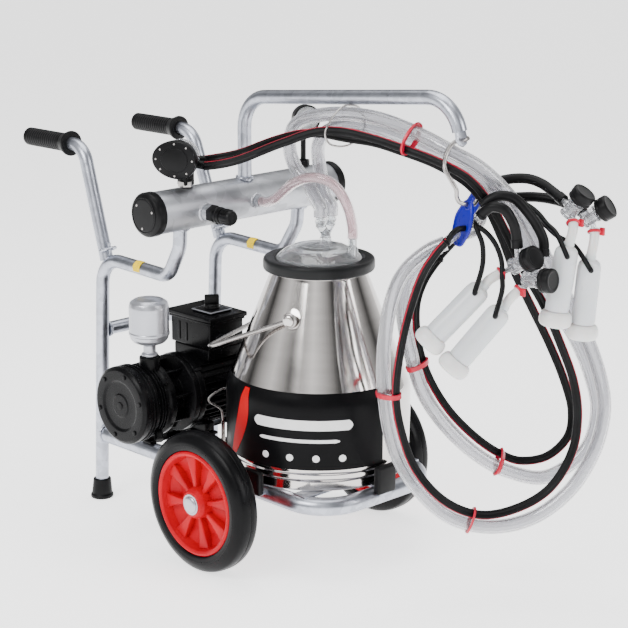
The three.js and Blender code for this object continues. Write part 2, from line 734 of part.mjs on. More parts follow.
// Clear dome with two nozzles and the Y connector that splits the milk line in two.
function lidDome() {
  const seat = GASKET_TOP - 6 + GAP;
  const profile = [
    [0, 553], [30, 551], [55, 545], [72, 532], [75, 531], [75, seat], [66, seat],
    [52, 539], [29, 546], [0, 548],
  ];
  profile.reverse();
  const shell = moved(lathe(profile, 16), BUCKET_X, 0, 0);
  const [x, y] = MILK_NOZZLE;
  const vacuumNozzle = rod([...VACUUM_NOZZLE, 532], [...VACUUM_NOZZLE, 566.5], 7, 8);
  const stem = rod([x, y, 546], [x, y, 572], 10, 10);
  const parts = [shell, vacuumNozzle, stem];
  for (const side of [-1, 1]) {
    parts.push(rod([x, y, 566], [x, y + side * HOSE_SPREAD, 584], 8, 8));
    parts.push(rod([x, y + side * HOSE_SPREAD, 580], [x, y + side * HOSE_SPREAD, Y_TOP], 8, 8));
  }
  return join(...parts);
}

// ---------- hoses ----------
const NEAR_MILK_ROUTE = [
  [432, 3, 598], [432, 3, 614], [423, 1, 627], [403, -2, 656], [380, -6, 678],
  [369, -10, 709], [374, -12, 740], [397, -13, 763], [447, -14, 779], [507, -14, 788],
  [576, -14, 789], [633, -14, 782], [697, -12, 767], [738, -4, 751], [766, 32, 725],
  [794, 75, 676], [814, 104, 625], [835, 128, 566], [858, 155, 501], [883, 180, 433],
  [903, 194, 365], [913, 193, 316], [910, 176, 249], [888, 142, 181], [847, 95, 132],
  [799, 43, 117], [752, -5, 134], [710, -48, 191], [686, -72, 253], [674, -85, 340],
  [673, -88, 426], [683, -81, 511], [700, -70, 559], [728, -46, 594], [749, -29, 608],
];
const FAR_MILK_ROUTE = [
  [432, 29, 598], [432, 29, 614], [419, 27, 630], [409, 24, 675], [408, 20, 714],
  [427, 16, 741], [462, 14, 758], [503, 14, 766], [561, 14, 764], [618, 14, 757],
  [677, 16, 745], [722, 22, 733], [747, 50, 710], [771, 91, 657], [788, 117, 600],
  [804, 137, 542], [827, 163, 484], [855, 191, 420], [875, 206, 360], [888, 208, 307],
  [885, 190, 246], [859, 156, 206], [836, 126, 193], [797, 81, 208], [768, 49, 232],
  [732, 12, 279], [702, -19, 340], [684, -37, 418], [673, -43, 485], [672, -32, 534],
  [681, -3, 566], [690, 20, 583],
];
const NEAR_TWIN_ROUTE = [
  [269, -120, 681], [295, -112, 686], [316, -98, 692], [334, -82, 700], [355, -68, 711],
  [388, -64, 725], [421, -60, 738], [454, -56, 751], [490, -52, 761], [538, -46, 765],
  [598, -36, 759], [648, -30, 751], [712, -28, 741], [752, -20, 729], [767, 7, 709],
  [788, 34, 669], [805, 60, 615], [822, 83, 558], [845, 110, 497], [866, 131, 431],
  [884, 146, 368], [892, 150, 312], [890, 141, 249], [871, 110, 188], [840, 70, 156],
  [800, 21, 144], [761, -24, 167], [726, -63, 225], [708, -82, 295], [701, -88, 355],
  [706, -83, 432], [719, -73, 508], [737, -65, 564], [756, -53, 600], [768, -43, 618],
];
const FAR_TWIN_ROUTE = [
  [251, -104, 688], [277, -96, 694], [296, -80, 699], [313, -62, 706], [340, -54, 718],
  [369, -46, 730], [398, -38, 740], [431, -34, 748], [466, -28, 751], [511, -18, 748],
  [567, -4, 745], [613, 8, 736], [671, 18, 724], [708, 26, 711], [732, 49, 688],
  [750, 73, 651], [762, 97, 599], [772, 121, 539], [787, 151, 475], [807, 177, 410],
  [829, 193, 346], [842, 199, 295], [844, 188, 254], [825, 157, 221], [795, 122, 214],
  [776, 97, 226], [752, 67, 252], [717, 28, 305], [691, 1, 368], [677, -10, 428],
  [671, -8, 487], [672, 8, 524], [675, 28, 548], [679, 41, 562],
];
const VACUUM_ROUTE = [
  [286, NOZZLE_Y, 604], [298, NOZZLE_Y, 605], [328, -8, 616], [367, -20, 639], [404, -32, 659],
  [438, -38, 672], [465, -36, 676], [485, -28, 671], [496, -14, 653], [501, 0, 626],
  [497, 13, 601], [492, 22, 580], [492, 22, 567],
];

function ovalSection(width, height, sides) {
  const shape = new THREE.Shape();
  for (let i = 0; i < sides; i += 1) {
    const angle = (2 * Math.PI * i) / sides;
    const x = (width / 2) * Math.cos(angle);
    const y = (height / 2) * Math.sin(angle);
    if (i === 0) shape.moveTo(x, y);
    else shape.lineTo(x, y);
  }
  shape.closePath();
  return shape;
}

// ---------- clusters ----------
const PLATE_UP = new THREE.Vector3(0.16, 0.16, 0.97).normalize();
const BOWL_AXIS = new THREE.Vector3(0.28, 0.92, -0.2).normalize();

// Places a shape made with +Y up the hanger plate and +Z towards the bowl.
function clawFrame(centre) {
  const across = PLATE_UP.clone().cross(BOWL_AXIS).normalize();
  const ahead = across.clone().cross(PLATE_UP).normalize();
  return new THREE.Matrix4().makeBasis(across, PLATE_UP, ahead).setPosition(vec(centre));
}

// Blue hanger plate with a clear milk bowl behind it, its milk outlet and two milk nozzles.
function claw(centre, outlet, nozzles) {
  const outline = [
    [-10, 41], [8, 38], [25, 8], [22, -26], [8, -40], [-12, -38], [-25, -10], [-22, 20],
  ];
  const shape = new THREE.Shape(outline.map((p) => new THREE.Vector2(...p)));
  const plate = new THREE.ExtrudeGeometry(shape, { depth: 5, bevelEnabled: false });
  const eyelet = new THREE.CylinderGeometry(5, 5, 20, 12).rotateX(Math.PI / 2).translate(-2, 31, 0);
  const bowl = lathe([[0, 4], [21, 4], [22, 10], [18, 24], [10, 31], [0, 33]], 14).translate(0, -5, 0);
  const frame = clawFrame(centre);
  const body = join(cut(plate, eyelet), bowl).applyMatrix4(frame);
  const heart = new THREE.Vector3(0, -5, 16).applyMatrix4(frame).toArray();
  const parts = [body, rod(heart, shortOf(heart, outlet, 2), 7, 8)];
  for (const nozzle of nozzles) {
    parts.push(rod(heart, shortOf(heart, nozzle, 4), 4.5, 8));
  }
  return join(...parts);
}

const CLAW_TUBE_R = 8.5;
const VALVE_R = 14;
const CAP_BUTTON_R = 20;
const CAP_CLEARANCE = 6;         // button to valve body at rest; its stroke is 3
const CUP_LENGTH = 133;
const SHELL_LENGTH = 106;
const SHORT_TUBE_R = 8;

// One entry per teat cup: black tube from the claw, valve cap, short milk tube and cup axis.
const CUPS = [
  {
    tube: [
      [796, 2, 655], [802, 3, 662], [817, 7, 672], [833, 15, 669], [842, 23, 653],
      [846, 30, 633], [847, 34, 607],
    ],
    cap: [873, 38, 592], face: [0.88, -0.03, 0.45],
    milk: [[816, -11, 545], [823, -4, 556], [830, 5, 563], [836, 14, 568]],
    top: [815, -12, 544], axis: [-0.47, -0.49, -0.74],
  },
  {
    tube: [
      [791, 13, 668], [797, 18, 677], [812, 28, 686], [830, 42, 683], [845, 55, 664],
      [857, 68, 640], [867, 75, 614], [869, 73, 590],
    ],
    cap: [899, 49, 559], face: [0.95, 0.12, 0.1],
    milk: [[848, 2, 512], [852, 8, 524], [858, 17, 535], [863, 28, 543]],
    top: [847, 1, 511], axis: [-0.44, -0.44, -0.78],
  },
  {
    tube: [
      [730, 94, 678], [740, 106, 688], [758, 124, 694], [782, 138, 695], [806, 142, 690],
      [832, 140, 680], [856, 137, 670],
    ],
    cap: [892, 138, 682], face: [0.56, 0.15, 0.8],
    milk: [[891, 108, 605], [893, 112, 618], [891, 119, 632], [884, 127, 643]],
    top: [890, 107, 604], axis: [-0.07, -0.11, -0.99],
  },
  {
    tube: [
      [732, 100, 656], [742, 114, 660], [762, 136, 662], [788, 156, 663], [822, 168, 660],
      [852, 166, 655], [878, 161, 650],
    ],
    cap: [918, 166, 662], face: [0.78, 0.29, 0.55],
    milk: [[910, 142, 581], [911, 146, 598], [909, 152, 614], [904, 157, 628]],
    top: [910, 142, 580], axis: [-0.05, -0.05, -1],
  },
];

function valveParts(cup) {
  const face = vec(cup.face).normalize();
  const cap = vec(cup.cap);
  const underside = cap.clone().addScaledVector(face, -10);
  const bodyTop = underside.clone().addScaledVector(face, -CAP_CLEARANCE);
  const bodyEnd = bodyTop.clone().addScaledVector(face, -26);
  const middle = bodyTop.clone().lerp(bodyEnd, 0.5);
  return { face, underside, bodyTop, bodyEnd, middle };
}

// Black tube with the clear valve body it is pushed onto.
function clawTube(cup) {
  const valve = valveParts(cup);
  const tube = hose(cup.tube, 8, disc(CLAW_TUBE_R, 8));
  const body = rod(valve.bodyEnd.toArray(), valve.bodyTop.toArray(), VALVE_R, 10);
  const inlet = rod(cup.tube.at(-1), valve.middle.toArray(), 5.5, 8);
  const last = vec(cup.milk.at(-1));
  const away = last.clone().sub(valve.middle).normalize();
  const outletEnd = last.clone().addScaledVector(away, -1.5);
  const outlet = rod(valve.middle.toArray(), outletEnd.toArray(), 4.5, 8);
  const bore = rod(valve.bodyTop.clone().addScaledVector(valve.face, 2).toArray(),
    valve.bodyTop.clone().addScaledVector(valve.face, -16).toArray(), 5, 10);
  return cut(join(tube, body, inlet, outlet), bore);
}

function valveCap(cup) {
  const profile = [
    [0, -14], [4.6, -14], [4.6, 0], [CAP_BUTTON_R - 1, 0], [CAP_BUTTON_R, 2],
    [CAP_BUTTON_R, 18], [CAP_BUTTON_R - 2, 20], [0, 20],
  ];
  const valve = valveParts(cup);
  return aim(lathe(profile, 12), valve.underside.toArray(), valve.face.toArray());
}

// Stiff outer shell, open at the mouthpiece end, with a hole for the liner's neck.
function cupShell(cup) {
  const profile = [
    [10.5, 0], [15, 2], [19.5, 15], [19.5, SHELL_LENGTH], [17.8, SHELL_LENGTH],
    [17.8, 19], [10.5, 4], [10.5, 0],
  ];
  return aim(lathe(profile, 12), cup.top, cup.axis);
}

// Soft liner: neck, barrel and a bulging mouthpiece, joined to its short milk tube.
function cupLiner(cup) {
  const end = CUP_LENGTH;
  const profile = [
    [0, -2], [SHORT_TUBE_R + 2, -2], [SHORT_TUBE_R + 2, 8], [12.5, 16], [12.5, SHELL_LENGTH - 2],
    [17, SHELL_LENGTH + GAP], [20, SHELL_LENGTH + 2], [25, end - 19], [27, end - 11], [24, end - 3],
    [15, end], [11, end - 3], [10.5, 24], [0, 18],
  ];
  const barrel = aim(lathe(profile, 10), cup.top, cup.axis);
  const tube = hose(cup.milk, 5, disc(SHORT_TUBE_R, 8));
  return join(barrel, tube);
}

// Open hook that hangs from the arch tongue and carries the near claw.
function sHook() {
  const route = [
    [768, 0, 777], [761, 0, 773], [754, 0, 771.6], [747, -3, 770], [742, -13, 762],
    [742, -24, 746], [748, -32, 730], [760, -30, 712], [768, -26, 697], [766, -22, 684],
    [767, -17, 676], [770, -11, 672.5], [774, 0, 670], [777, 8, 671], [778, 13, 677],
  ];
  return hose(route, 20, disc(3, 6));
}

// ---------- assembly ----------
for (const [side, word] of [[-1, 'near'], [1, 'far']]) {
  addPart(`side_frame_${word}`, sideFrame(side), STEEL);
  addPart(`leg_foot_${word}`, foot(side), RUBBER);
  addPart(`handle_grip_${word}`, grip(side), RUBBER);
  addPart(`wheel_rim_${word}`, rim(side), RED_PLASTIC);
  addPart(`tyre_${word}`, tyre(side), RUBBER);
  addPart(`tank_cap_${word}`, tankCap(side), BLACK_PLASTIC);
}
addPart('cross_tube', crossTube(), STEEL);
addPart('base_frame', baseFrame(), STEEL);
addPart('arch_tube', arch(), STEEL);
addPart('vacuum_tank', tank(), STEEL);
addPart('pulsator_body', pulsatorBody(), BLACK_PLASTIC);
addPart('pulsator_cover', pulsatorCover(), BLACK_PLASTIC);
addPart('regulator_body', regulatorBody(), BLACK_PLASTIC);
addPart('regulator_knob', regulatorKnob(), BLACK_PLASTIC);
addPart('gauge_case', gaugeCase(), BLACK_PLASTIC);
addPart('gauge_needle', gaugeNeedle(), RED);
addPart('motor_mount', motorMount(), BLACK_PAINT);
addPart('motor_housing', motorHousing(), BLACK_PAINT);
addPart('terminal_box', terminalBox(), BLACK_PAINT);
addPart('switch_knob', switchKnob(), BLACK_PLASTIC);
addPart('motor_rotor', motorRotor(), STEEL);
addPart('pump_body', pumpBody(), BLACK_PAINT);
addPart('pump_cover', pumpCover(), BLACK_PAINT);
addPart('pump_rotor', pumpRotor(), STEEL);
addPart('silencer', muffler(), STEEL);
addPart('milk_bucket', bucket(), STAINLESS);
addPart('bail_handle', bail(), STAINLESS);
addPart('lid_gasket', lidGasket(), GASKET_RUBBER);
addPart('lid_dome', lidDome(), CLEAR);
addPart('vacuum_hose', hose(VACUUM_ROUTE, 16, disc(VACUUM_HOSE_R, 8)), PINK_CLEAR);
addPart('milk_hose_near', hose(NEAR_MILK_ROUTE, 38, disc(MILK_HOSE_R, 8)), CLEAR);
addPart('milk_hose_far', hose(FAR_MILK_ROUTE, 36, disc(MILK_HOSE_R, 8)), CLEAR);
addPart('pulse_tube_near', hose(NEAR_TWIN_ROUTE, 38, ovalSection(TWIN_H, TWIN_W, 8)), RUBBER);
addPart('pulse_tube_far', hose(FAR_TWIN_ROUTE, 36, ovalSection(TWIN_H, TWIN_W, 8)), RUBBER);
addPart('claw_near', claw([767, -10, 641], NEAR_MILK_ROUTE.at(-1),
  CUPS.slice(0, 2).map((cup) => cup.tube[0])), BLUE_PLASTIC);
addPart('claw_far', claw([715, 69, 637], FAR_MILK_ROUTE.at(-1),
  CUPS.slice(2).map((cup) => cup.tube[0])), BLUE_PLASTIC);
addPart('s_hook', sHook(), STEEL);
CUPS.forEach((cup, index) => {
  const number = index + 1;
  addPart(`claw_tube_${number}`, clawTube(cup), RUBBER);
  addPart(`valve_cap_${number}`, valveCap(cup), BLACK_PLASTIC);
  addPart(`cup_shell_${number}`, cupShell(cup), MILKY);
  addPart(`cup_liner_${number}`, cupLiner(cup), WHITE);
});

machine.position.set(-ORIGIN_X, -ORIGIN_Y, 0);

export default machine;
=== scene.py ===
import math
import random

import bmesh
import bpy
from mathutils import Matrix, Vector


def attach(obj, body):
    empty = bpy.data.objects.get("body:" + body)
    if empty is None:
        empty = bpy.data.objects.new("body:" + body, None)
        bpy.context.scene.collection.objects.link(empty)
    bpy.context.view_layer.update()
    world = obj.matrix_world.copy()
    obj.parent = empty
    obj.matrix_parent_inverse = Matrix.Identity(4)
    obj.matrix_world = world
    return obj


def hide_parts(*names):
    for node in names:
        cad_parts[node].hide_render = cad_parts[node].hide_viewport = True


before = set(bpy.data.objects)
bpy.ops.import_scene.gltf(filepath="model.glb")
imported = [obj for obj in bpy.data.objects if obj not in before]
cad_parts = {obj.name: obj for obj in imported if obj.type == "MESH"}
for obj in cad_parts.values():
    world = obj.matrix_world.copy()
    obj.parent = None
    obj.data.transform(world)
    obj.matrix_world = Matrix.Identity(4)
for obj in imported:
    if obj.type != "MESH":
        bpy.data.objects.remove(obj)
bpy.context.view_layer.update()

MM = 0.001
ORIGIN_X, ORIGIN_Y = 355.28, -16.5
TUBE_R = 12.5
TRACK = 140                     # each side frame's distance from the middle
LEG_TOP_X, LEG_TOP_Z = 2, 478
LEG_LEAN = 22                   # how far a leg leans towards the hoses on its way up
GRIP_Y = 132
RAIL_Z, LOOP_R = 131.5, 16
REST_Z = 146.2                  # the bars under the bucket
CROSS_X, CROSS_Z = -7, 335
TANK_X, TANK_Z, TANK_R, TANK_HALF = 235, 604, 37.5, 214
BUCKET_X = 432
PUMP_X, PUMP_Z = 180, 252       # the motor's shaft
MOTOR_R = 66
MOTOR_FEET_Y = (-84, 56)
BOX_Y, SWITCH_X = -41, PUMP_X + 14
PORT_X, PORT_Y = PUMP_X + 12, -188
PULSATOR_Y, GAUGE_Y = -134, 158
LID_PORT_Y = 16
WHEEL_X, WHEEL_R, TYRE_W = 388, 125, 50
WHEEL_OUT = {-1: 266, 1: 220}
SIDES = {"near": -1, "far": 1}
UP = Vector((0, 0, 1))


def frame_point(p):
    """Cart millimetres to CAD frame metres."""
    return Vector(((p[0] - ORIGIN_X) * MM, (p[1] - ORIGIN_Y) * MM, p[2] * MM))


# ---------- camera ----------
IMAGE_SIDE, SENSOR = 628, 36
FOCAL = 1874.66  # in pixels
FAR_CLIP = 200
AZIMUTH, ELEVATION, ROLL = (math.radians(a) for a in (45.57, 14.84, 0.16))
CAMERA_AT = (2699.52, -2234.82, 1267.73)


def make_camera():
    right = Vector((math.cos(AZIMUTH), math.sin(AZIMUTH), 0))
    back = Vector((math.sin(AZIMUTH) * math.cos(ELEVATION), -math.cos(AZIMUTH) * math.cos(ELEVATION),
                   math.sin(ELEVATION)))
    up = back.cross(right)
    right, up = (right * math.cos(ROLL) + up * math.sin(ROLL), up * math.cos(ROLL) - right * math.sin(ROLL))
    data = bpy.data.cameras.new("camera")
    data.sensor_width = SENSOR
    data.lens = FOCAL * SENSOR / IMAGE_SIDE
    data.clip_end = FAR_CLIP
    camera = bpy.data.objects.new("camera", data)
    bpy.context.scene.collection.objects.link(camera)
    turn = Matrix((right, up, back)).transposed()
    camera.matrix_world = Matrix.Translation(frame_point(CAMERA_AT)) @ turn.to_4x4()
    bpy.context.scene.camera = camera


make_camera()


# ---------- shapes: points and faces in cart millimetres, and a finish number or a list of them ----------
def spread(count, start=0.0):
    """Evenly spaced angles round a circle."""
    return [math.tau * k / count + start for k in range(count)]


def rounded(profile, radius, steps=3):
    """A profile with its corners eased."""
    points = [Vector(p) for p in profile]
    closed = profile[0] == profile[-1]
    if closed:
        points.pop()
    eased = []
    for i, here in enumerate(points):
        if not closed and i in (0, len(points) - 1):
            eased.append(here)
            continue
        before = points[i - 1] - here
        after = points[(i + 1) % len(points)] - here
        reach = min(radius, 0.45 * before.length, 0.45 * after.length)
        if reach < 1e-4 or abs(before.angle(after) - math.pi) < 0.08:
            eased.append(here)
            continue
        start = here + before.normalized() * reach
        end = here + after.normalized() * reach
        for k in range(steps + 1):
            t = k / steps
            eased.append(start.lerp(here, t).lerp(here.lerp(end, t), t))
    if closed:
        eased.append(eased[0])
    return eased


def lathe(profile, start, direction, sides=48, soft=1.2, finish=0):
    """A body of revolution from (radius, height) pairs."""
    rings = rounded(profile, soft) if soft else [Vector(p) for p in profile]
    closed = (rings[0] - rings[-1]).length < 1e-6
    if closed:
        rings.pop()
    turn = UP.rotation_difference(Vector(direction))
    points, faces, rows = [], [], []
    for radius, height in rings:
        count = sides if radius > 1e-4 else 1
        rows.append([len(points) + k for k in range(count)])
        for k in range(count):
            angle = math.tau * k / sides
            local = Vector((radius * math.cos(angle), radius * math.sin(angle), height))
            points.append(turn @ local + Vector(start))
    pairs = list(zip(rows, rows[1:]))
    if closed:
        pairs.append((rows[-1], rows[0]))
    for low, high in pairs:
        for k in range(sides):
            n = (k + 1) % sides
            loop = [low[k % len(low)], low[n % len(low)], high[n % len(high)], high[k % len(high)]]
            face = list(dict.fromkeys(loop))
            if len(face) > 2:
                faces.append(face)
    return points, faces, finish


def rod(start, end, radius, sides=24, soft=1.0):
    length = (Vector(end) - Vector(start)).length
    profile = [(0, 0), (radius, 0), (radius, length), (0, length)]
    return lathe(profile, start, Vector(end) - Vector(start), sides, soft)


def bent(corners, radii, steps=8):
    """Straight runs whose corners are rounded to their own radii."""
    points = [Vector(c) for c in corners]
    path = [points[0]]
    for i, radius in enumerate(radii, 1):
        before = (points[i - 1] - points[i]).normalized()
        after = (points[i + 1] - points[i]).normalized()
        half = before.angle(after) / 2
        centre = (before + after).normalized() * (radius / math.sin(half)) + points[i]
        start = points[i] + before * (radius / math.tan(half)) - centre
        end = points[i] + after * (radius / math.tan(half)) - centre
        for k in range(steps + 1):
            path.append(start.slerp(end, k / steps).normalized() * radius + centre)
    path.append(points[-1])
    return path


def flow(route, steps=10):
    """A smooth curve through route points, centripetal Catmull-Rom."""
    knots = [Vector(p) for p in route]
    knots = [knots[0] * 2 - knots[1]] + knots + [knots[-1] * 2 - knots[-2]]
    path = []
    for a, b, c, d in zip(knots, knots[1:], knots[2:], knots[3:]):
        one, two, three = ((q - p).length ** 0.5 for p, q in ((a, b), (b, c), (c, d)))
        leave = ((b - a) / one - (c - a) / (one + two) + (c - b) / two) * two
        reach = ((c - b) / two - (d - b) / (two + three) + (d - c) / three) * two
        for k in range(steps):
            t = k / steps
            path.append(b + leave * t + (c * 3 - b * 3 - leave * 2 - reach) * t * t
                        + (b * 2 - c * 2 + leave + reach) * t ** 3)
    path.append(knots[-2])
    return path


def circle(radius, sides):
    """A circle's outline."""
    return [(radius * math.cos(angle), radius * math.sin(angle)) for angle in spread(sides)]


def sweep(path, outline, bore=None, stripe=()):
    """An outline carried along a path. bore is an inner outline, stripe the outline faces of finish 1."""
    points, faces, marks = [], [], []
    tangents = [(path[min(i + 1, len(path) - 1)] - path[max(i - 1,
                                                            0)]).normalized() for i in range(len(path))]
    across = tangents[0].cross(UP if abs(tangents[0].z) < 0.9 else Vector((0, 1, 0))).normalized()
    loops = [outline] + ([bore] if bore else [])
    count = len(outline)
    for i, (here, along) in enumerate(zip(path, tangents)):
        if i:
            across = tangents[i - 1].rotation_difference(along) @ across
        across = (across - along * across.dot(along)).normalized()
        other = along.cross(across)
        for loop in loops:
            points.extend(here + across * x + other * y for x, y in loop)
    row = count * len(loops)
    for i in range(len(path) - 1):
        for wall in range(len(loops)):
            for k in range(count):
                n = (k + 1) % count
                low, high = i * row + wall * count, (i + 1) * row + wall * count
                face = [low + k, low + n, high + n, high + k]
                faces.append(face if wall == 0 else face[::-1])
                marks.append(1 if wall == 0 and k in stripe else 0)
    for base, flip in ((0, True), ((len(path) - 1) * row, False)):
        if bore:
            for k in range(count):
                n = (k + 1) % count
                face = [base + k, base + n, base + count + n, base + count + k]
                faces.append(face[::-1] if flip else face)
                marks.append(0)
        else:
            face = [base + k for k in range(count)]
            faces.append(face[::-1] if flip else face)
            marks.append(0)
    return points, faces, marks


def tube(path, radius, sides=20, wall=0):
    return sweep(path, circle(radius, sides), circle(radius - wall, sides) if wall else None)


def from_bmesh(mesh, matrix, finish=0):
    mesh.verts.ensure_lookup_table()
    points = [matrix @ v.co for v in mesh.verts]
    faces = [[v.index for v in f.verts] for f in mesh.faces]
    mesh.free()
    return points, faces, finish


def block(size, centre, soft=1.5, turn=0.0, axis="Z", finish=0):
    """A box with eased edges."""
    mesh = bmesh.new()
    bmesh.ops.create_cube(mesh, size=1)
    bmesh.ops.scale(mesh, vec=size, verts=mesh.verts)
    bmesh.ops.bevel(mesh, geom=mesh.edges[:], offset=min(soft, 0.45 * min(size)), segments=3,
                    profile=0.5, affect="EDGES")
    matrix = Matrix.Translation(centre) @ Matrix.Rotation(turn, 4, axis)
    mesh.verts.index_update()
    return from_bmesh(mesh, matrix, finish)


def plate(outline, depth, matrix, soft=1.0):
    """A flat outline with thickness along its own Z and eased edges."""
    mesh = bmesh.new()
    face = mesh.faces.new([mesh.verts.new((x, y, 0)) for x, y in outline])
    grown = bmesh.ops.extrude_face_region(mesh, geom=[face])
    bmesh.ops.translate(mesh, vec=(0, 0, depth),
                        verts=[g for g in grown["geom"] if isinstance(g, bmesh.types.BMVert)])
    rims = [e for e in mesh.edges if abs(e.verts[0].co.z - e.verts[1].co.z) < 1e-6]
    bmesh.ops.bevel(mesh, geom=rims, offset=soft, segments=3, profile=0.5, affect="EDGES")
    mesh.verts.index_update()
    return from_bmesh(mesh, matrix)


def ring(centre, direction, radius, thickness, sides=32, wobble=0.0):
    """A round ring, such as a weld bead; wobble makes it uneven."""
    turn = UP.rotation_difference(Vector(direction))
    chance = random.Random(int(radius * 10 + centre[0] * 7 + centre[2]))
    points, faces = [], []
    small = 8
    for i in range(sides):
        angle = math.tau * i / sides
        size = thickness * (1 + wobble * (chance.random() - 0.5))
        for k in range(small):
            bend = math.tau * k / small
            reach = radius + size * math.cos(bend)
            local = Vector((reach * math.cos(angle), reach * math.sin(angle), size * math.sin(bend)))
            points.append(turn @ local + Vector(centre))
            faces.append([i * small + k, ((i + 1) % sides) * small + k,
                          ((i + 1) % sides) * small + (k + 1) % small, i * small + (k + 1) % small])
    return points, faces, 0


def shift(shape, matrix):
    """The same shape, moved."""
    return [matrix @ p for p in shape[0]], shape[1], shape[2]


def seat_on(centre, axis):
    """The placing that puts a shape's own Z along an axis at a point."""
    return Matrix.Translation(centre) @ UP.rotation_difference(Vector(axis)).to_matrix().to_4x4()


# ---------- building a piece ----------
def build(name, shapes, looks, body="cart", stands_for=(), sharp=32.0):
    """Joins shapes into one object in the CAD frame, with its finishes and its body."""
    points, faces, marks = [], [], []
    for shape_points, shape_faces, finish in shapes:
        start = len(points)
        points.extend(frame_point(p) for p in shape_points)
        faces.extend([start + i for i in face] for face in shape_faces)
        marks.extend(finish if isinstance(finish, list) else [finish] * len(shape_faces))
    mesh = bpy.data.meshes.new(name)
    mesh.from_pydata(points, [], faces)
    looks = looks if isinstance(looks, (list, tuple)) else [looks]
    for look in looks:
        mesh.materials.append(look)
    mesh.polygons.foreach_set("material_index", marks)
    tidy = bmesh.new()
    tidy.from_mesh(mesh)
    bmesh.ops.recalc_face_normals(tidy, faces=tidy.faces)
    tidy.to_mesh(mesh)
    tidy.free()
    mesh.shade_smooth()
    mesh.set_sharp_from_angle(angle=math.radians(sharp))
    piece = bpy.data.objects.new(name, mesh)
    bpy.context.scene.collection.objects.link(piece)
    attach(piece, body)
    if stands_for:
        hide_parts(*([stands_for] if isinstance(stands_for, str) else stands_for))
    return piece


def fine(name, shapes, looks, body="cart", sharp=32.0):
    """The finer piece that stands for the CAD node of this name."""
    return build(name + "_fine", shapes, looks, body, name, sharp)


# ---------- materials ----------
def start_material(name, color, rough, metal):
    material = bpy.data.materials.new(name)
    material.use_nodes = True
    tree = material.node_tree
    shader = tree.nodes["Principled BSDF"]
    shader.inputs["Base Color"].default_value = (*color, 1)
    shader.inputs["Roughness"].default_value = rough
    shader.inputs["Metallic"].default_value = metal
    return material, tree, shader


def add_node(tree, kind, **values):
    node = tree.nodes.new("ShaderNode" + kind)
    for key, value in values.items():
        node.inputs[key.replace("_", " ")].default_value = value
    return node


def vary_color(tree, shader, source, dark, light, low=0.35, high=0.65):
    ramp = tree.nodes.new("ShaderNodeValToRGB")
    ramp.color_ramp.elements[0].position = low
    ramp.color_ramp.elements[1].position = high
    ramp.color_ramp.elements[0].color = (*dark, 1)
    ramp.color_ramp.elements[1].color = (*light, 1)
    tree.links.new(source, ramp.inputs["Fac"])
    tree.links.new(ramp.outputs["Color"], shader.inputs["Base Color"])


def vary_rough(tree, shader, source, low, high):
    span = add_node(tree, "MapRange", To_Min=low, To_Max=high)
    tree.links.new(source, span.inputs["Value"])
    tree.links.new(span.outputs["Result"], shader.inputs["Roughness"])


def add_bump(tree, shader, source, strength, distance):
    bump = add_node(tree, "Bump", Strength=strength, Distance=distance)
    tree.links.new(source, bump.inputs["Height"])
    tree.links.new(bump.outputs["Normal"], shader.inputs["Normal"])


def noise_node(tree, scale, detail, stretch=(1, 1, 1)):
    coordinates = tree.nodes.new("ShaderNodeTexCoord")
    mapping = add_node(tree, "Mapping", Scale=stretch)
    noise = add_node(tree, "TexNoise", Scale=scale, Detail=detail, Roughness=0.5)
    tree.links.new(coordinates.outputs["Object"], mapping.inputs["Vector"])
    tree.links.new(mapping.outputs["Vector"], noise.inputs["Vector"])
    return noise.outputs["Fac"]


def surface(name, color, rough, metal=0.0, contrast=0.2, patch=18.0, grain=900.0, bump=0.12, swing=0.08,
            stretch=(1, 1, 1), shine=0.5, **sockets):
    """General finish: patchy colour, uneven gloss and a fine grain."""
    material, tree, shader = start_material(name, color, rough, metal)
    shader.inputs["Specular IOR Level"].default_value = shine
    for key, value in sockets.items():
        shader.inputs[key.replace("_", " ")].default_value = value
    patches = noise_node(tree, patch, 4, stretch)
    dark = [c * (1 - contrast) for c in color]
    light = [min(1, c * (1 + contrast)) for c in color]
    vary_color(tree, shader, patches, dark, light)
    vary_rough(tree, shader, noise_node(tree, patch * 4, 5), max(0.02, rough - swing), rough + swing)
    add_bump(tree, shader, noise_node(tree, grain, 4, stretch), bump, 0.0004)
    return material


def galvanised(name, color, rough, spangle):
    """Zinc with crystal patches that catch the light differently."""
    material, tree, shader = start_material(name, color, rough, 1.0)
    coordinates = tree.nodes.new("ShaderNodeTexCoord")
    cells = add_node(tree, "TexVoronoi", Scale=spangle)
    tree.links.new(coordinates.outputs["Object"], cells.inputs["Vector"])
    gray = tree.nodes.new("ShaderNodeRGBToBW")
    tree.links.new(cells.outputs["Color"], gray.inputs["Color"])
    vary_color(tree, shader, gray.outputs["Val"], [c * 0.86 for c in color],
               [min(1, c * 1.08) for c in color], 0.2, 0.8)
    vary_rough(tree, shader, noise_node(tree, 60, 5), rough - 0.08, rough + 0.12)
    add_bump(tree, shader, noise_node(tree, 260, 5), 0.10, 0.0006)
    return material


def clear(name, tint, rough, index, milk):
    """Clear plastic: lets light through, with painted shade making its edges a little darker, and a glossy
    skin.
    """
    material, tree, shader = start_material(name, tint, rough, 0.0)
    shader.inputs["Transmission Weight"].default_value = 1.0 - milk
    shader.inputs["IOR"].default_value = index
    shader.inputs["Coat Weight"].default_value = 1.0
    shader.inputs["Coat Roughness"].default_value = 0.05
    # Painted shade: the tint darkens towards edges that turn away from view, standing in for the dark edges
    # of a clear tube.
    facing = add_node(tree, "LayerWeight", Blend=0.35)
    vary_color(tree, shader, facing.outputs["Facing"], tint, [c * 0.62 for c in tint], 0.25, 1.0)
    vary_rough(tree, shader, noise_node(tree, 40, 4), rough * 0.6, rough * 1.5)
    add_bump(tree, shader, noise_node(tree, 120, 3), 0.08, 0.0008)
    return material


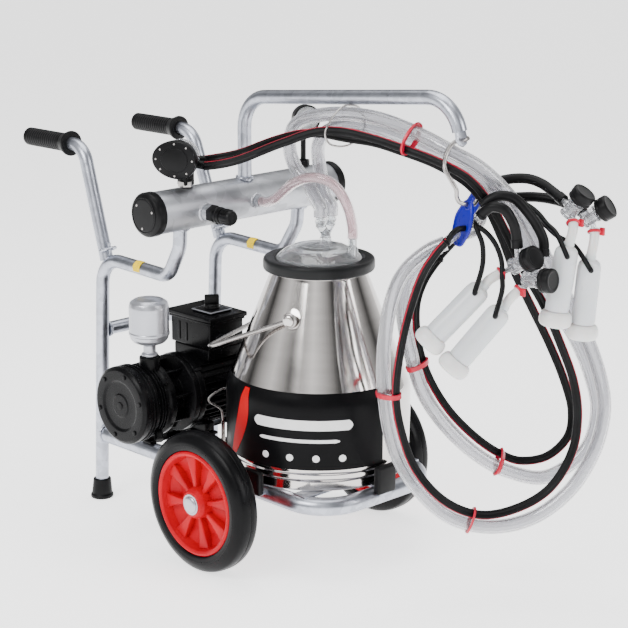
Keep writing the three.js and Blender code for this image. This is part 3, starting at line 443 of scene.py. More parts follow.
SKIN = {"Subsurface_Weight": 0.15, "Coat_Weight": 0.3}  # light soaks in a little, under a thin gloss
ZINC = galvanised("zinc_tube", (0.44, 0.46, 0.52), 0.30, 90)
ZINC_TANK = galvanised("zinc_tank", (0.46, 0.47, 0.50), 0.40, 55)
SILVER_PAINT = surface("silver_paint", (0.48, 0.49, 0.53), 0.32, 0.85, 0.06, grain=1500, bump=0.15)
STAINLESS = surface("stainless", (0.62, 0.59, 0.57), 0.11, 1.0, 0.05, 8, 140, 0.05, 0.05, stretch=(1, 1, 6))
WIRE = surface("bright_wire", (0.40, 0.38, 0.37), 0.28, 1.0, 0.1, 60, 700, 0.1)
ENAMEL = surface("black_enamel", (0.0035, 0.0035, 0.004), 0.24, 0.0, 0.3, 25, 220, 0.22, 0.10, shine=0.1)
CASTING = surface("black_casting", (0.0035, 0.0035, 0.004), 0.28, 0.0, 0.3, 25, 420, 0.5, 0.12, shine=0.1)
BLACK_PLASTIC = surface("black_plastic", (0.004, 0.004, 0.0045), 0.34, 0.0, 0.3, 30, 900, 0.2, shine=0.14)
BLACK_RUBBER = surface("black_rubber", (0.004, 0.004, 0.0045), 0.42, 0.0, 0.35, 30, 700, 0.3, shine=0.14)
GASKET_RUBBER = surface("gasket_rubber", (0.006, 0.0065, 0.007), 0.42, 0.0, 0.2, 25, 600, 0.25, shine=0.2)
TYRE_RUBBER = surface("tyre_rubber", (0.0035, 0.0035, 0.004), 0.30, 0.0, 0.3, 22, 500, 0.3, shine=0.1)
RED_PLASTIC = surface("red_plastic", (0.47, 0.0, 0.010), 0.34, 0.0, 0.12, 20, 500, 0.12, shine=0.1)
TWIN_RED = surface("twin_red", (0.34, 0.002, 0.022), 0.36, 0.0, 0.15, 80, 800, 0.1, shine=0.2)
RED_CLIP = surface("red_clip", (0.50, 0.004, 0.03), 0.30, 0.0, 0.15, 80, 800, 0.1, shine=0.3)
BLUE_PLASTIC = surface("blue_plastic", (0.004, 0.004, 0.29), 0.30, 0.0, 0.08, 60, 700, 0.08, shine=0.3)
WHITE_DIAL = surface("white_dial", (0.82, 0.82, 0.80), 0.4, 0.0, 0.03, 60, 900, 0.05)
YELLOW_LABEL = surface("yellow_label", (0.90, 0.62, 0.0), 0.5, 0.0, 0.08, 90, 900, 0.1, shine=0.1)
LABEL_BLACK = surface("label_black", (0.0035, 0.0035, 0.004), 0.30, 0.0, 0.2, 12, 300, 0.05, 0.05, shine=0.07)
LABEL_RED = surface("label_red", (0.50, 0.0, 0.004), 0.38, 0.0, 0.08, 20, 500, 0.05, shine=0.05)
LABEL_WHITE = surface("label_white", (0.80, 0.80, 0.80), 0.35, 0.0, 0.04, 40, 500, 0.05)
CLEAR_HOSE = clear("clear_hose", (0.68, 0.68, 0.71), 0.06, 1.36, milk=0.16)
PINK_HOSE = clear("pink_hose", (0.80, 0.64, 0.67), 0.08, 1.33, milk=0.22)
CLEAR_LID = clear("clear_lid", (0.84, 0.86, 0.88), 0.05, 1.3, milk=0.1)
CLEAR_BODY = clear("clear_body", (0.70, 0.71, 0.74), 0.07, 1.38, milk=0.18)
MILKY = surface("milky_shell", (0.70, 0.672, 0.682), 0.30, 0.0, 0.03, 14, 300, 0.08, **SKIN)
SILICONE = surface("white_silicone", (0.73, 0.728, 0.722), 0.35, 0.0, 0.03, 14, 300, 0.08, **SKIN)


# ---------- hoses and twin tubes ----------
ROUTE_SHIFT_X = -0.02  # the CAD's route points are rounded to 0.1 mm in its own frame


def hose_route(points):
    """The CAD's route points of a hose, in cart millimetres."""
    return [Vector((x + ROUTE_SHIFT_X, y, z)) for x, y, z in points]


NEAR_MILK_ROUTE = hose_route([
    (432, 3, 598), (432, 3, 614), (423, 1, 627), (403, -2, 656), (380, -6, 678), (369, -10, 709),
    (374, -12, 740), (397, -13, 763), (447, -14, 779), (507, -14, 788), (576, -14, 789), (633, -14, 782),
    (697, -12, 767), (738, -4, 751), (766, 32, 725), (794, 75, 676), (814, 104, 625), (835, 128, 566),
    (858, 155, 501), (883, 180, 433), (903, 194, 365), (913, 193, 316), (910, 176, 249), (888, 142, 181),
    (847, 95, 132), (799, 43, 117), (752, -5, 134), (710, -48, 191), (686, -72, 253), (674, -85, 340),
    (673, -88, 426), (683, -81, 511), (700, -70, 559), (728, -46, 594), (749, -29, 608),
])
FAR_MILK_ROUTE = hose_route([
    (432, 29, 598), (432, 29, 614), (419, 27, 630), (409, 24, 675), (408, 20, 714), (427, 16, 741),
    (462, 14, 758), (503, 14, 766), (561, 14, 764), (618, 14, 757), (677, 16, 745), (722, 22, 733),
    (747, 50, 710), (771, 91, 657), (788, 117, 600), (804, 137, 542), (827, 163, 484), (855, 191, 420),
    (875, 206, 360), (888, 208, 307), (885, 190, 246), (859, 156, 206), (836, 126, 193), (797, 81, 208),
    (768, 49, 232), (732, 12, 279), (702, -19, 340), (684, -37, 418), (673, -43, 485), (672, -32, 534),
    (681, -3, 566), (690, 20, 583),
])
NEAR_TWIN_ROUTE = hose_route([
    (269, -120, 681), (295, -112, 686), (316, -98, 692), (334, -82, 700), (355, -68, 711),
    (388, -64, 725), (421, -60, 738), (454, -56, 751), (490, -52, 761), (538, -46, 765), (598, -36, 759),
    (648, -30, 751), (712, -28, 741), (752, -20, 729), (767, 7, 709), (788, 34, 669), (805, 60, 615),
    (822, 83, 558), (845, 110, 497), (866, 131, 431), (884, 146, 368), (892, 150, 312), (890, 141, 249),
    (871, 110, 188), (840, 70, 156), (800, 21, 144), (761, -24, 167), (726, -63, 225), (708, -82, 295),
    (701, -88, 355), (706, -83, 432), (719, -73, 508), (737, -65, 564), (756, -53, 600), (768, -43, 618),
])
FAR_TWIN_ROUTE = hose_route([
    (251, -104, 688), (277, -96, 694), (296, -80, 699), (313, -62, 706), (340, -54, 718), (369, -46, 730),
    (398, -38, 740), (431, -34, 748), (466, -28, 751), (511, -18, 748), (567, -4, 745), (613, 8, 736),
    (671, 18, 724), (708, 26, 711), (732, 49, 688), (750, 73, 651), (762, 97, 599), (772, 121, 539),
    (787, 151, 475), (807, 177, 410), (829, 193, 346), (842, 199, 295), (844, 188, 254), (825, 157, 221),
    (795, 122, 214), (776, 97, 226), (752, 67, 252), (717, 28, 305), (691, 1, 368), (677, -10, 428),
    (671, -8, 487), (672, 8, 524), (675, 28, 548), (679, 41, 562),
])
VACUUM_ROUTE = hose_route([
    (286, 0, 604), (298, 0, 605), (328, -8, 616), (367, -20, 639), (404, -32, 659), (438, -38, 672),
    (465, -36, 676), (485, -28, 671), (496, -14, 653), (501, 0, 626), (497, 13, 601), (492, 22, 580),
    (492, 22, 567),
])
MILK_HOSE_R, MILK_HOSE_WALL = 12, 4
VACUUM_HOSE_R, VACUUM_HOSE_WALL = 9, 2.5
TWIN_R, TWIN_OVERLAP = 3.9, 0.2
TWIN_ARC, TWIN_SIDES = 300, 9  # degrees and points of each bore's outer wall
STRIPE = (4, 13)               # the outline faces that are red, one on each bore
HOSE_STEPS = 8


def milk_hose(name, route):
    path = flow(route, HOSE_STEPS)
    wall = tube(path, MILK_HOSE_R, 24, MILK_HOSE_WALL)
    piece = fine(name, [wall], CLEAR_HOSE, sharp=60)


def twin_tube(name, route):
    path = flow(route, HOSE_STEPS)
    twin = []
    for centre, first in ((TWIN_R - TWIN_OVERLAP, -60), (TWIN_OVERLAP - TWIN_R, 120)):
        for k in range(TWIN_SIDES):
            angle = math.radians(first + TWIN_ARC * k / (TWIN_SIDES - 1))
            twin.append((TWIN_R * math.cos(angle), centre + TWIN_R * math.sin(angle)))
    piece = fine(name, [sweep(path, twin, stripe=STRIPE)], [BLACK_RUBBER, TWIN_RED], sharp=50)


milk_hose("milk_hose_near", NEAR_MILK_ROUTE)
milk_hose("milk_hose_far", FAR_MILK_ROUTE)
twin_tube("pulse_tube_near", NEAR_TWIN_ROUTE)
twin_tube("pulse_tube_far", FAR_TWIN_ROUTE)


def vacuum_hose():
    path = flow(VACUUM_ROUTE, HOSE_STEPS)
    wall = tube(path, VACUUM_HOSE_R, 24, VACUUM_HOSE_WALL)
    piece = fine("vacuum_hose", [wall], PINK_HOSE, sharp=60)


vacuum_hose()


# ---------- cart frame ----------
def leg_x(z):
    return LEG_TOP_X - LEG_LEAN + z / LEG_TOP_Z * LEG_LEAN


def side_frame(word, side):
    y = side * TRACK
    main = bent([(leg_x(8), y, 8), (leg_x(LEG_TOP_Z), y, LEG_TOP_Z), (191, y, 473),
                 (227, side * (TRACK + 3), 533), (230, side * (TRACK + 4), TANK_Z - 30)], [52, 36, 50], 10)
    handle = bent([(14, y, 474), (-57, side * 133, 678), (-218, side * GRIP_Y, 676)], [42], 10)
    weld = Vector((22, y, 480)).lerp(Vector((-57, side * 133, 678)), 0.07)
    shapes = [tube(main, TUBE_R, 28), tube(handle, TUBE_R, 28),
              ring(weld, (-0.37, 0, 0.93), TUBE_R + 1.5, 2.6, wobble=0.7),
              ring((230, side * (TRACK + 4), TANK_Z - TANK_R + 1), UP, TUBE_R + 2, 3, wobble=0.7),
              block((26, 3.6, 24), (12, y, 496), 1)]
    fine(f"side_frame_{word}", shapes, ZINC)


def sticker(word, side):
    """Small yellow label wrapped over the top of the level tube."""
    start = Vector((105, side * TRACK, 475.6))
    radius, wide, points, faces = TUBE_R + 0.35, 19, [], []
    for i in range(2):
        for k in range(13):
            angle = math.radians(-115 + 150 * k / 12)
            points.append(start + Vector((i * wide, radius * math.sin(angle), radius * math.cos(angle))))
    for k in range(12):
        faces.append([k, k + 1, 14 + k, 13 + k])
    build(f"sticker_{word}", [(points, faces, 0)], YELLOW_LABEL)


def leg_foot(word, side):
    foot = lathe([(0, 0), (20.5, 0), (22, 2), (21.5, 7), (19.5, 9), (16.8, 38), (13.2, 38.5), (13.2, 7),
                  (0, 7)], (leg_x(0), side * TRACK, 0), UP, 40)
    lean = Matrix.Translation((leg_x(0), side * TRACK, 0))
    lean = lean @ Matrix(((1, 0, LEG_LEAN / LEG_TOP_Z, 0), (0, 1, 0, 0), (0, 0, 1, 0), (0, 0, 0, 1)))
    foot = shift(foot, lean @ Matrix.Translation((-leg_x(0), -side * TRACK, 0)))
    fine(f"leg_foot_{word}", [foot], BLACK_RUBBER)


def handle_grip(word, side):
    profile = [(0, 0), (13, 0), (17, 3), (17, 9)]
    for k in range(15):
        base = 11 + 6.6 * k
        profile += [(16.2, base), (16.2, base + 2.2), (17.2, base + 3.2), (17.2, base + 5.4)]
    profile += [(17, 111), (22.8, 127), (23.5, 129), (23.5, 133), (13.2, 134), (13.2, 5), (0, 5)]
    grip = lathe(profile, (-226, side * GRIP_Y, 675.9), (134, 0, 1.7), 40, 0.8)
    fine(f"handle_grip_{word}", [grip], BLACK_RUBBER)


def cross_tube():
    reach = TRACK - TUBE_R - 0.3
    shapes = [rod((CROSS_X, -reach, CROSS_Z), (CROSS_X, reach, CROSS_Z), TUBE_R, 28, 0.3)]
    for side in (-1, 1):
        weld = (CROSS_X + 1, side * (reach - 1), CROSS_Z)
        shapes.append(ring(weld, (0, 1, 0), TUBE_R + 1, 2.4, wobble=0.7))
    fine("cross_tube", shapes, ZINC)


def base_frame():
    start = leg_x(RAIL_Z) + TUBE_R + 0.3
    loop = bent([(start, -TRACK, RAIL_Z), (588, -TRACK, RAIL_Z), (588, TRACK, RAIL_Z),
                 (start, TRACK, RAIL_Z)],
                [75, 75], 12)
    shapes = [tube(loop, LOOP_R, 32)]
    for x in (330, 530):
        shapes.append(block((30, 286, 5), (x, 0, REST_Z), 1))
    shapes.append(block((276, 30, 5), (458, 0, REST_Z), 1))
    for side in SIDES.values():
        shapes.append(block((46, 6, 46), (WHEEL_X, side * 154, WHEEL_R), 1))
        stub_end = (WHEEL_X, side * (WHEEL_OUT[side] - 2), WHEEL_R)
        shapes.append(rod((WHEEL_X, side * TRACK, WHEEL_R), stub_end, 10, 28, 1))
        shapes.append(ring((WHEEL_X, side * 158, WHEEL_R), (0, 1, 0), 11, 2, wobble=0.7))
        shapes.append(ring((start + 1, side * TRACK, RAIL_Z), (1, 0, 0), LOOP_R + 0.6, 2.4, wobble=0.7))
    shapes.append(block((30, 30, 8), (446, -158, 139.5), 1))
    shapes.append(block((6, 30, 30), (604, -8, 150), 1.5))
    fine("base_frame", shapes, ZINC)
    pads = [block((14, 44, 50), (604, -8, 164.5), 4), block((44, 14, 44), (446, -172, 159.5), 5)]
    build("stop_pads", pads, BLACK_RUBBER)


def arch_tube():
    path = bent([(241, 0, TANK_Z + 30), (241, 0, 787), (733, 0, 838), (750, 0, 785)], [60, 66], 12)
    tongue = plate([(-10, 20), (-13, -8), (-9, -17), (0, -21), (9, -17), (13, -8), (10, 20)], 4.4,
                   Matrix.Translation((749.6, 0, 780.6)) @ Matrix.Rotation(-0.29, 4, "Y")
                   @ Matrix.Rotation(math.pi / 2, 4, "Z") @ Matrix.Rotation(math.pi / 2, 4, "X"), 1)
    shapes = [tube(path, TUBE_R, 28), tongue,
              ring((241, 0, TANK_Z + TANK_R + 0.6), UP, TUBE_R + 1.5, 3, wobble=0.8)]
    fine("arch_tube", shapes, ZINC)


for word, side in SIDES.items():
    side_frame(word, side)
    sticker(word, side)
    leg_foot(word, side)
    handle_grip(word, side)
cross_tube()
base_frame()
arch_tube()


# ---------- wheels ----------
def wheel(word, side):
    half = TYRE_W / 2
    out = WHEEL_OUT[side]
    centre = (WHEEL_X, side * (out - half - 4), WHEEL_R)
    axis = (0, side, 0)
    tread = [(93.2, -half + 2), (101, -half), (108, -half + 0.4), (116, -half + 4), (122.4, -16), (124.6, -8)]
    tread += [(124.8, -1), (124.2, -0.6), (124.2, 0.6), (124.8, 1)]
    tread += [(124.6, 8), (122.4, 16), (116, half - 4), (108, half - 0.4), (101, half), (93.2, half - 2)]
    tyre = lathe(tread + [tread[0]], centre, axis, 96, 3)
    beads = [ring(Vector(centre) + Vector(axis) * (s * (half - 0.7)), axis, 104, 0.9, 96) for s in (-1, 1)]
    fine(f"tyre_{word}", [tyre, *beads], TYRE_RUBBER, f"wheel_{word}")

    band = lathe([(10.3, -22), (19, -22), (19, -4), (60, -9), (78, -10), (84, -half + 3), (93, -half + 3),
                  (93, half - 3), (89, half - 0.6), (84, half - 3), (80, 4), (60, -2), (29, 2),
                  (27, half - 6), (22, half + 2), (10.3, half + 2), (10.3, -22)], centre, axis, 96, 1.5)
    turn = seat_on(centre, axis)
    webs = []
    for k in range(8):
        spin = turn @ Matrix.Rotation(0.2 + math.tau * k / 8, 4, "Z")
        webs.append(plate([(24, -3.5), (50, -6), (82, -13), (82, 13), (50, 6), (24, 3.5)], 17,
                          spin @ Matrix.Translation((0, 0, -4)), 2.2))
    fine(f"wheel_rim_{word}", [band, *webs], RED_PLASTIC, f"wheel_{word}")
    face = Vector((WHEEL_X, side * (out - 2), WHEEL_R))
    nut = [lathe([(0, 0.1), (18.5, 0.1), (18.5, 1.2), (0, 1.2)], face, axis, 40, 0.4),
           lathe([(0, 1.2), (15.5, 1.2), (15.2, 2.6), (12.5, 4.8), (7, 5.9), (0, 6.1)], face, axis, 40, 2)]
    build(f"hub_nut_{word}", nut, SILVER_PAINT)


for word, side in SIDES.items():
    wheel(word, side)


# ---------- vacuum tank and its fittings ----------
REG_Y, REG_Z = -120, 599


def tank():
    body = lathe([(TANK_R - 3, -TANK_HALF), (TANK_R, -TANK_HALF), (TANK_R, TANK_HALF),
                  (TANK_R - 3, TANK_HALF), (TANK_R - 3, -TANK_HALF)], (TANK_X, 0, TANK_Z), (0, 1, 0), 96, 0.4)
    shapes = [body]
    for y, z, radius, reach in ((0, TANK_Z, 10, 50), (REG_Y, REG_Z, 13.5, 52)):
        bore = radius * 0.7
        shapes.append(lathe([(bore, 30), (radius, 30), (radius, reach), (bore, reach), (bore, 30)],
                            (TANK_X, y, z), (1, 0, 0), 40, 0.6))
        shapes.append(ring((TANK_X + TANK_R - 0.5, y, z), (1, 0, 0), radius + 1.4, 2.6, wobble=0.8))
    fine("vacuum_tank", shapes, ZINC_TANK)


def tank_cap(word, side):
    profile = [(0, 16.6), (27, 16.8), (36, 14.2), (39.3, 9.5), (39.3, -5), (37.9, -5), (37.9, 0.4), (0, 0.4)]
    centre = (TANK_X, side * TANK_HALF, TANK_Z)
    cap = lathe(profile[::-1], centre, (0, side, 0), 64, 1.0)
    lip = ring(Vector(centre) + Vector((0, side * 16.2, 0)), (0, 1, 0), 30.5, 0.9, 64)
    fine(f"tank_cap_{word}", [cap, lip], BLACK_PLASTIC)
    rivets = []
    for k in range(3):
        angle = math.radians(20 + 120 * k)
        at = Vector(centre) + Vector((24 * math.cos(angle), side * 16.4, 24 * math.sin(angle)))
        rivets.append(lathe([(0, -1), (2.6, -1), (2.3, 0.8), (0, 1.6)], at, (0, side, 0), 16, 0.3))
    build(f"cap_rivets_{word}", rivets, WIRE)


COVER_AIM = Vector((0.42, -0.91, 0)).normalized()


def pulsator():
    y, top = PULSATOR_Y, TANK_Z + TANK_R
    seat_at = Vector((TANK_X + 2, y - 19, 694))
    neck = block((22, 22, 34), (TANK_X, y, top + 21), 2)
    flange = rod((TANK_X, y, top + 11), (TANK_X, y, top + 14), 13, 32, 0.8)
    collar = lathe([(0, -5), (32, -5), (32, -1), (0, -1)], seat_at, COVER_AIM, 56, 1)
    core = lathe([(0, -24), (24, -24), (26, -20), (26, -4), (0, -4)], seat_at, COVER_AIM, 48, 1)
    port = rod((TANK_X, y + 4, 684), (TANK_X + 33, y + 15, 682), 7.6, 20)
    far_port = rod((TANK_X + 2, y + 8, 688), (TANK_X + 19, y + 34, 688.6), 7.2, 20)
    fine("pulsator_body", [neck, flange, collar, core, port, far_port], BLACK_PLASTIC)
    build("pulsator_nut", [rod((TANK_X, y, top + 1), (TANK_X, y, top + 11), 14, 6, 0.8)], WIRE)
    chamber = lathe([(0, -30), (25, -29.4), (30.4, -26), (32, -21), (32, -5), (29, -5), (29, -20), (24, -26),
                     (0, -27)], seat_at, COVER_AIM, 56, 1)
    bands = [ring(seat_at - COVER_AIM * d, COVER_AIM, 31.6, 0.8, 56) for d in (9, 14, 19)]
    build("pulsator_chamber", [chamber, *bands], CLEAR_BODY)

    outline = []
    for angle in spread(48):
        reach = 34 if math.cos(angle) > 0 else 49
        outline.append((6 + reach * math.cos(angle), 2 + 34 * math.sin(angle)))
    facing = Matrix.Rotation(math.atan2(COVER_AIM.x, -COVER_AIM.y), 4, "Z")
    turn = facing @ Matrix.Rotation(math.pi / 2, 4, "X")
    seat = Matrix.Translation((TANK_X + 2, y - 19, 692)) @ turn
    cover = plate(outline, 15, seat @ Matrix.Translation((0, 0, 1.5)), 3)
    boss = plate([(5 + (x - 6) * 0.62, 2 + (z - 2) * 0.62) for x, z in outline], 2.6,
                 seat @ Matrix.Translation((0, 0, 15.6)), 1.2)
    fine("pulsator_cover", [cover, boss], BLACK_PLASTIC)
    screws = []
    for k in (0, 7, 13, 19, 24, 29, 35, 41):
        x, z = outline[k]
        spot = seat @ Vector((6 + (x - 6) * 0.83, 2 + (z - 2) * 0.83, 16.3))
        screws.append(lathe([(0, -1), (2.1, -1), (1.9, 0.8), (1.1, 1.4), (0, 1.4)], spot, COVER_AIM, 16, 0.3))
    build("cover_screws", screws, WIRE)


def regulator():
    x, y, z = TANK_X + 52.3, REG_Y, REG_Z
    nut = rod((x, y, z), (x + 16, y, z), 17, 6, 1.2)
    barrel = rod((x + 14, y, z), (x + 30, y, z), 14.5, 32)
    lip = ring((x + 22, y, z), (1, 0, 0), 14.5, 1.1, 32)
    stem = rod((x + 30, y, z), (x + 43, y, z), 5, 16)
    fine("regulator_body", [nut, barrel, lip, stem], BLACK_PLASTIC)
    knob = lathe([(5.3, 0), (13.6, 0), (13.6, 19), (11, 23.6), (0, 24), (0, 15), (5.3, 14), (5.3, 0)][::-1],
                 (x + 31, y, z), (1, 0, 0), 40, 1)
    shapes = [knob]
    for angle in spread(16):
        spot = (x + 41, y + 13.7 * math.cos(angle), z + 13.7 * math.sin(angle))
        shapes.append(block((16, 1.6, 1.6), spot, 0.5, angle, "X"))
    fine("regulator_knob", shapes, BLACK_PLASTIC, "regulator")


GAUGE_AT = Vector((TANK_X, GAUGE_Y, 731))
GAUGE_AIM = Vector((0.9, -0.44, 0)).normalized()


def gauge():
    top = TANK_Z + TANK_R
    case = lathe([(0, -14), (20, -14), (25, -9), (25, 4), (26, 5), (26, 11), (24.5, 12), (23.2, 11),
                  (23.2, 0.6), (0, 0.6)], GAUGE_AT, GAUGE_AIM, 64, 0.8)
    stem = rod((TANK_X - 6, GAUGE_Y, top + 10), (TANK_X - 6, GAUGE_Y, 716), 5, 24)
    nut = rod((TANK_X - 6, GAUGE_Y, top + 1), (TANK_X - 6, GAUGE_Y, top + 12), 12, 6, 0.8)
    fine("gauge_case", [case, stem, nut], BLACK_PLASTIC)
    dial = lathe([(2.6, 0.6), (23, 0.6), (23, 1.4), (2.6, 1.4), (2.6, 0.6)], GAUGE_AT, GAUGE_AIM, 64, 0)
    pin = lathe([(0, 0), (2, 0), (2, 5), (0, 5.4)], GAUGE_AT, GAUGE_AIM, 16, 0.3, 1)
    turn = seat_on(GAUGE_AT, GAUGE_AIM)
    marks = []
    for k in range(21):
        spin = turn @ Matrix.Rotation(2.3 - math.radians(12 * k), 4, "Z")
        reach = 4.5 if k % 5 == 0 else 2.5
        marks.append(shift(block((0.7, reach, 0.3), (0, 21.5 - reach / 2, 1.5), 0.1, finish=1), spin))
    build("gauge_dial", [dial, pin, *marks], [WHITE_DIAL, BLACK_PLASTIC])
    hand = shift(plate([(-1.6, -6), (1.6, -6), (0.5, 19), (-0.5, 19)], 0.9,
                       Matrix.Translation((0, 0, 2.2)), 0.2),
                 turn @ Matrix.Rotation(2.3, 4, "Z"))
    hub = lathe([(2.3, 1.8), (4, 1.8), (4, 3.8), (2.3, 3.8), (2.3, 1.8)], GAUGE_AT, GAUGE_AIM, 24, 0.2)
    fine("gauge_needle", [hand, hub], RED_PLASTIC, "pointer")
    lens = lathe([(0, 10.6), (23, 9.6), (23, 8.6), (0, 9.6)][::-1], GAUGE_AT, GAUGE_AIM, 48, 0.2)
    build("gauge_lens", [lens], CLEAR_LID)


tank()
for word, side in SIDES.items():
    tank_cap(word, side)
pulsator()
regulator()
gauge()


# ---------- motor, pump and terminal box ----------
def around(radius, angle, y):
    """A point at a radius round the motor's shaft."""
    return (PUMP_X + radius * math.cos(angle), y, PUMP_Z + radius * math.sin(angle))


def drive(profile, sides=64, soft=1.2):
    """A body of revolution round the motor's shaft."""
    return lathe(profile, (PUMP_X, 0, PUMP_Z), (0, 1, 0), sides, soft)


def motor():
    shell = drive([(MOTOR_R + 6, -118), (MOTOR_R + 6, -106), (MOTOR_R, -103), (MOTOR_R, 60),
                   (MOTOR_R + 2.4, 62), (MOTOR_R + 2.4, 88), (MOTOR_R - 8, 96), (24, 96), (24, 92),
                   (MOTOR_R - 10, 91), (MOTOR_R - 5, 84), (MOTOR_R - 5, -118), (MOTOR_R + 6, -118)])
    shapes = [shell]
    for angle in spread(36):
        if 0.9 < angle < 2.24 or 4.2 < angle < 5.2:
            continue
        shapes.append(block((7, 150, 1.8), around(MOTOR_R + 1, angle, -26), 0.6, -angle, "Y"))
    for y in MOTOR_FEET_Y:
        shapes.append(block((110, 22, 19), (PUMP_X, y, 187.8), 3))
        for x in (-42, 42):
            shapes.append(rod((PUMP_X + x, y, 196), (PUMP_X + x, y, 203), 6.5, 6, 0.6))
    shapes.append(block((96, 80, 22), (PUMP_X, -40, PUMP_Z + MOTOR_R + 2), 3))
    for k in range(5):
        shapes.append(ring((PUMP_X, 91, PUMP_Z), (0, 1, 0), 28 + 6.5 * k, 1.3, 64))
    for angle in spread(6, 0.3):
        shapes.append(block((34, 2.4, 3), around(42, angle, 92.5), 0.6, -angle, "Y"))
    for angle in spread(4, 0.78):
        shapes.append(rod(around(MOTOR_R + 4, angle, -120), around(MOTOR_R + 4, angle, -102), 5, 6, 0.5))
    fine("motor_housing", shapes, ENAMEL)


def motor_mount():
    shapes = []
    for y in MOTOR_FEET_Y:
        shapes.append(block((120, 30, 5), (PUMP_X, y, 175.5), 1))
        for x in (-50, 50):
            shapes.append(block((5, 30, 27), (PUMP_X + x, y, 161.5), 1))
    for x in (-50, 50):
        shapes.append(block((30, 304, 4), (PUMP_X + x, 0, 149.8), 1))
        for side in SIDES.values():
            shapes.append(rod((PUMP_X + x, side * TRACK, 151), (PUMP_X + x, side * TRACK, 157), 7, 6, 0.6))
    fine("motor_mount", shapes, ENAMEL)


def terminal_box():
    base = block((108, 82, 60), (PUMP_X, BOX_Y, 361), 3)
    lid = block((122, 92, 9), (PUMP_X, BOX_Y, 388), 2.5)
    ledge = block((114, 86, 5), (PUMP_X, BOX_Y, 381), 1.5)
    plinth = block((50, 50, 5), (SWITCH_X, BOX_Y, 394), 1.2)
    shapes = [base, lid, ledge, plinth]
    for x in (-1, 1):
        for y in (-1, 1):
            spot = (PUMP_X + x * 54, BOX_Y + y * 39, 392)
            shapes.append(lathe([(0, -1), (4, -1), (3.6, 1.2), (0, 1.8)], spot, UP, 20, 0.3))
    for x in (-30, -10):
        shapes.append(block((5, 1.6, 34), (PUMP_X + x, -82.4, 356), 0.6))
    gland = lathe([(0, 0), (12, 0), (12, 8), (9, 10), (9, 16), (0, 16)],
                  (PUMP_X + 54, -62, 350), (1, 0, 0), 24)
    shapes.append(gland)
    fine("terminal_box", shapes, ENAMEL)
    trim = block((53, 53, 2), (SWITCH_X, BOX_Y, 396.2), 0.8)
    face = block((46, 46, 2.2), (SWITCH_X, BOX_Y, 397), 0.8, finish=1)
    build("switch_plate", [trim, face], [SILVER_PAINT, BLACK_PLASTIC])


def switch_knob():
    at = Vector((SWITCH_X, BOX_Y, 397.6))
    skirt = lathe([(0, 0.8), (15, 0.8), (14, 7), (11.5, 9), (0, 9.5)], at, UP, 40, 1)
    blade = shift(block((27, 8.5, 19), (0, 0, 16.5), 2.5),
                  Matrix.Translation(at) @ Matrix.Rotation(0.9, 4, "Z"))
    fine("switch_knob", [skirt, blade], BLACK_PLASTIC, "switch")


def pump():
    casing = drive([(12, -234), (69, -234), (69, -213), (64, -209), (64, -187), (68, -183), (68, -172),
                    (47, -160), (45, -137), (71, -130), (71, -118.4), (12, -118.4), (12, -234)])
    shapes = [casing]
    for y in (-226, -219):
        rib = [(60, y - 1.4), (71, y - 1), (71, y + 1), (60, y + 1.4), (60, y - 1.4)]
        shapes.append(drive(rib, 64, 0.6))
    for y in (-204, -198, -192):
        rib = [(58, y - 1.3), (67.5, y - 1), (67.5, y + 1), (58, y + 1.3), (58, y - 1.3)]
        shapes.append(drive(rib, 64, 0.5))
    for angle in spread(8, 0.2):
        shapes.append(block((20, 44, 3.4), around(54, angle, -150), 1, -angle, "Y"))
    for angle in spread(6, 0.5):
        shapes.append(rod(around(66, angle, -128), around(66, angle, -112), 5, 6, 0.5))
    shapes.append(lathe([(8, 60), (19, 60), (19, 82), (17, 84), (8, 84), (8, 60)], (PORT_X, PORT_Y, PUMP_Z),
                        UP, 40))
    shapes.append(rod((PUMP_X + 40, -196, PUMP_Z - 40), (PUMP_X + 60, -208, PUMP_Z - 60), 8, 6, 1))
    shapes.append(rod((PUMP_X + 46, -190, PUMP_Z + 36), (PUMP_X + 62, -196, PUMP_Z + 50), 6, 20, 1))
    fine("pump_body", shapes, CASTING)
    cover = drive([(0, -248), (20, -248.5), (22, -247), (43, -247), (47, -250), (65, -250), (71, -245),
                   (71, -234.3), (0, -234.3)], 80, 1.6)
    shapes = [cover, drive([(0, -250), (6, -250), (8, -247), (0, -246)], 32, 0.6)]
    for angle in spread(6, 0.26):
        shapes.append(rod(around(58, angle, -252.2), around(58, angle, -248), 4.4, 6, 0.5))
    fine("pump_cover", shapes, CASTING)


def silencer():
    profile = [(0, 0), (15, 0), (15, 4), (11, 6), (11, 20.6), (18, 22), (28, 26), (33.4, 32), (35.4, 39),
               (36.6, 40), (36.6, 44), (35.6, 45.4), (35.8, 91), (33.6, 99), (26, 104), (12, 106.4),
               (0, 106.6)]
    at = (PORT_X, PORT_Y, PUMP_Z + 84.3)
    top = Vector(at) + Vector((0, 0, 104.6))
    nut = lathe([(0, 0), (6.5, 0), (6.5, 1.6), (0, 1.9)], top, UP, 24, 0.4)
    fine("silencer", [lathe(profile, at, UP, 80, 1.8), nut], SILVER_PAINT)


def rotor():
    """The rotors show as the CAD has them, in bright metal."""
    for name in ("motor_rotor", "pump_rotor"):
        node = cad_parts[name]
        node.data.materials.clear()
        node.data.materials.append(WIRE)


motor()
motor_mount()
terminal_box()
switch_knob()
pump()
silencer()
rotor()


# ---------- bucket, lid and bail ----------
EAR = Vector((0.364, -0.931, 0))
EAR_Z = 442
EAR_REACH = 122


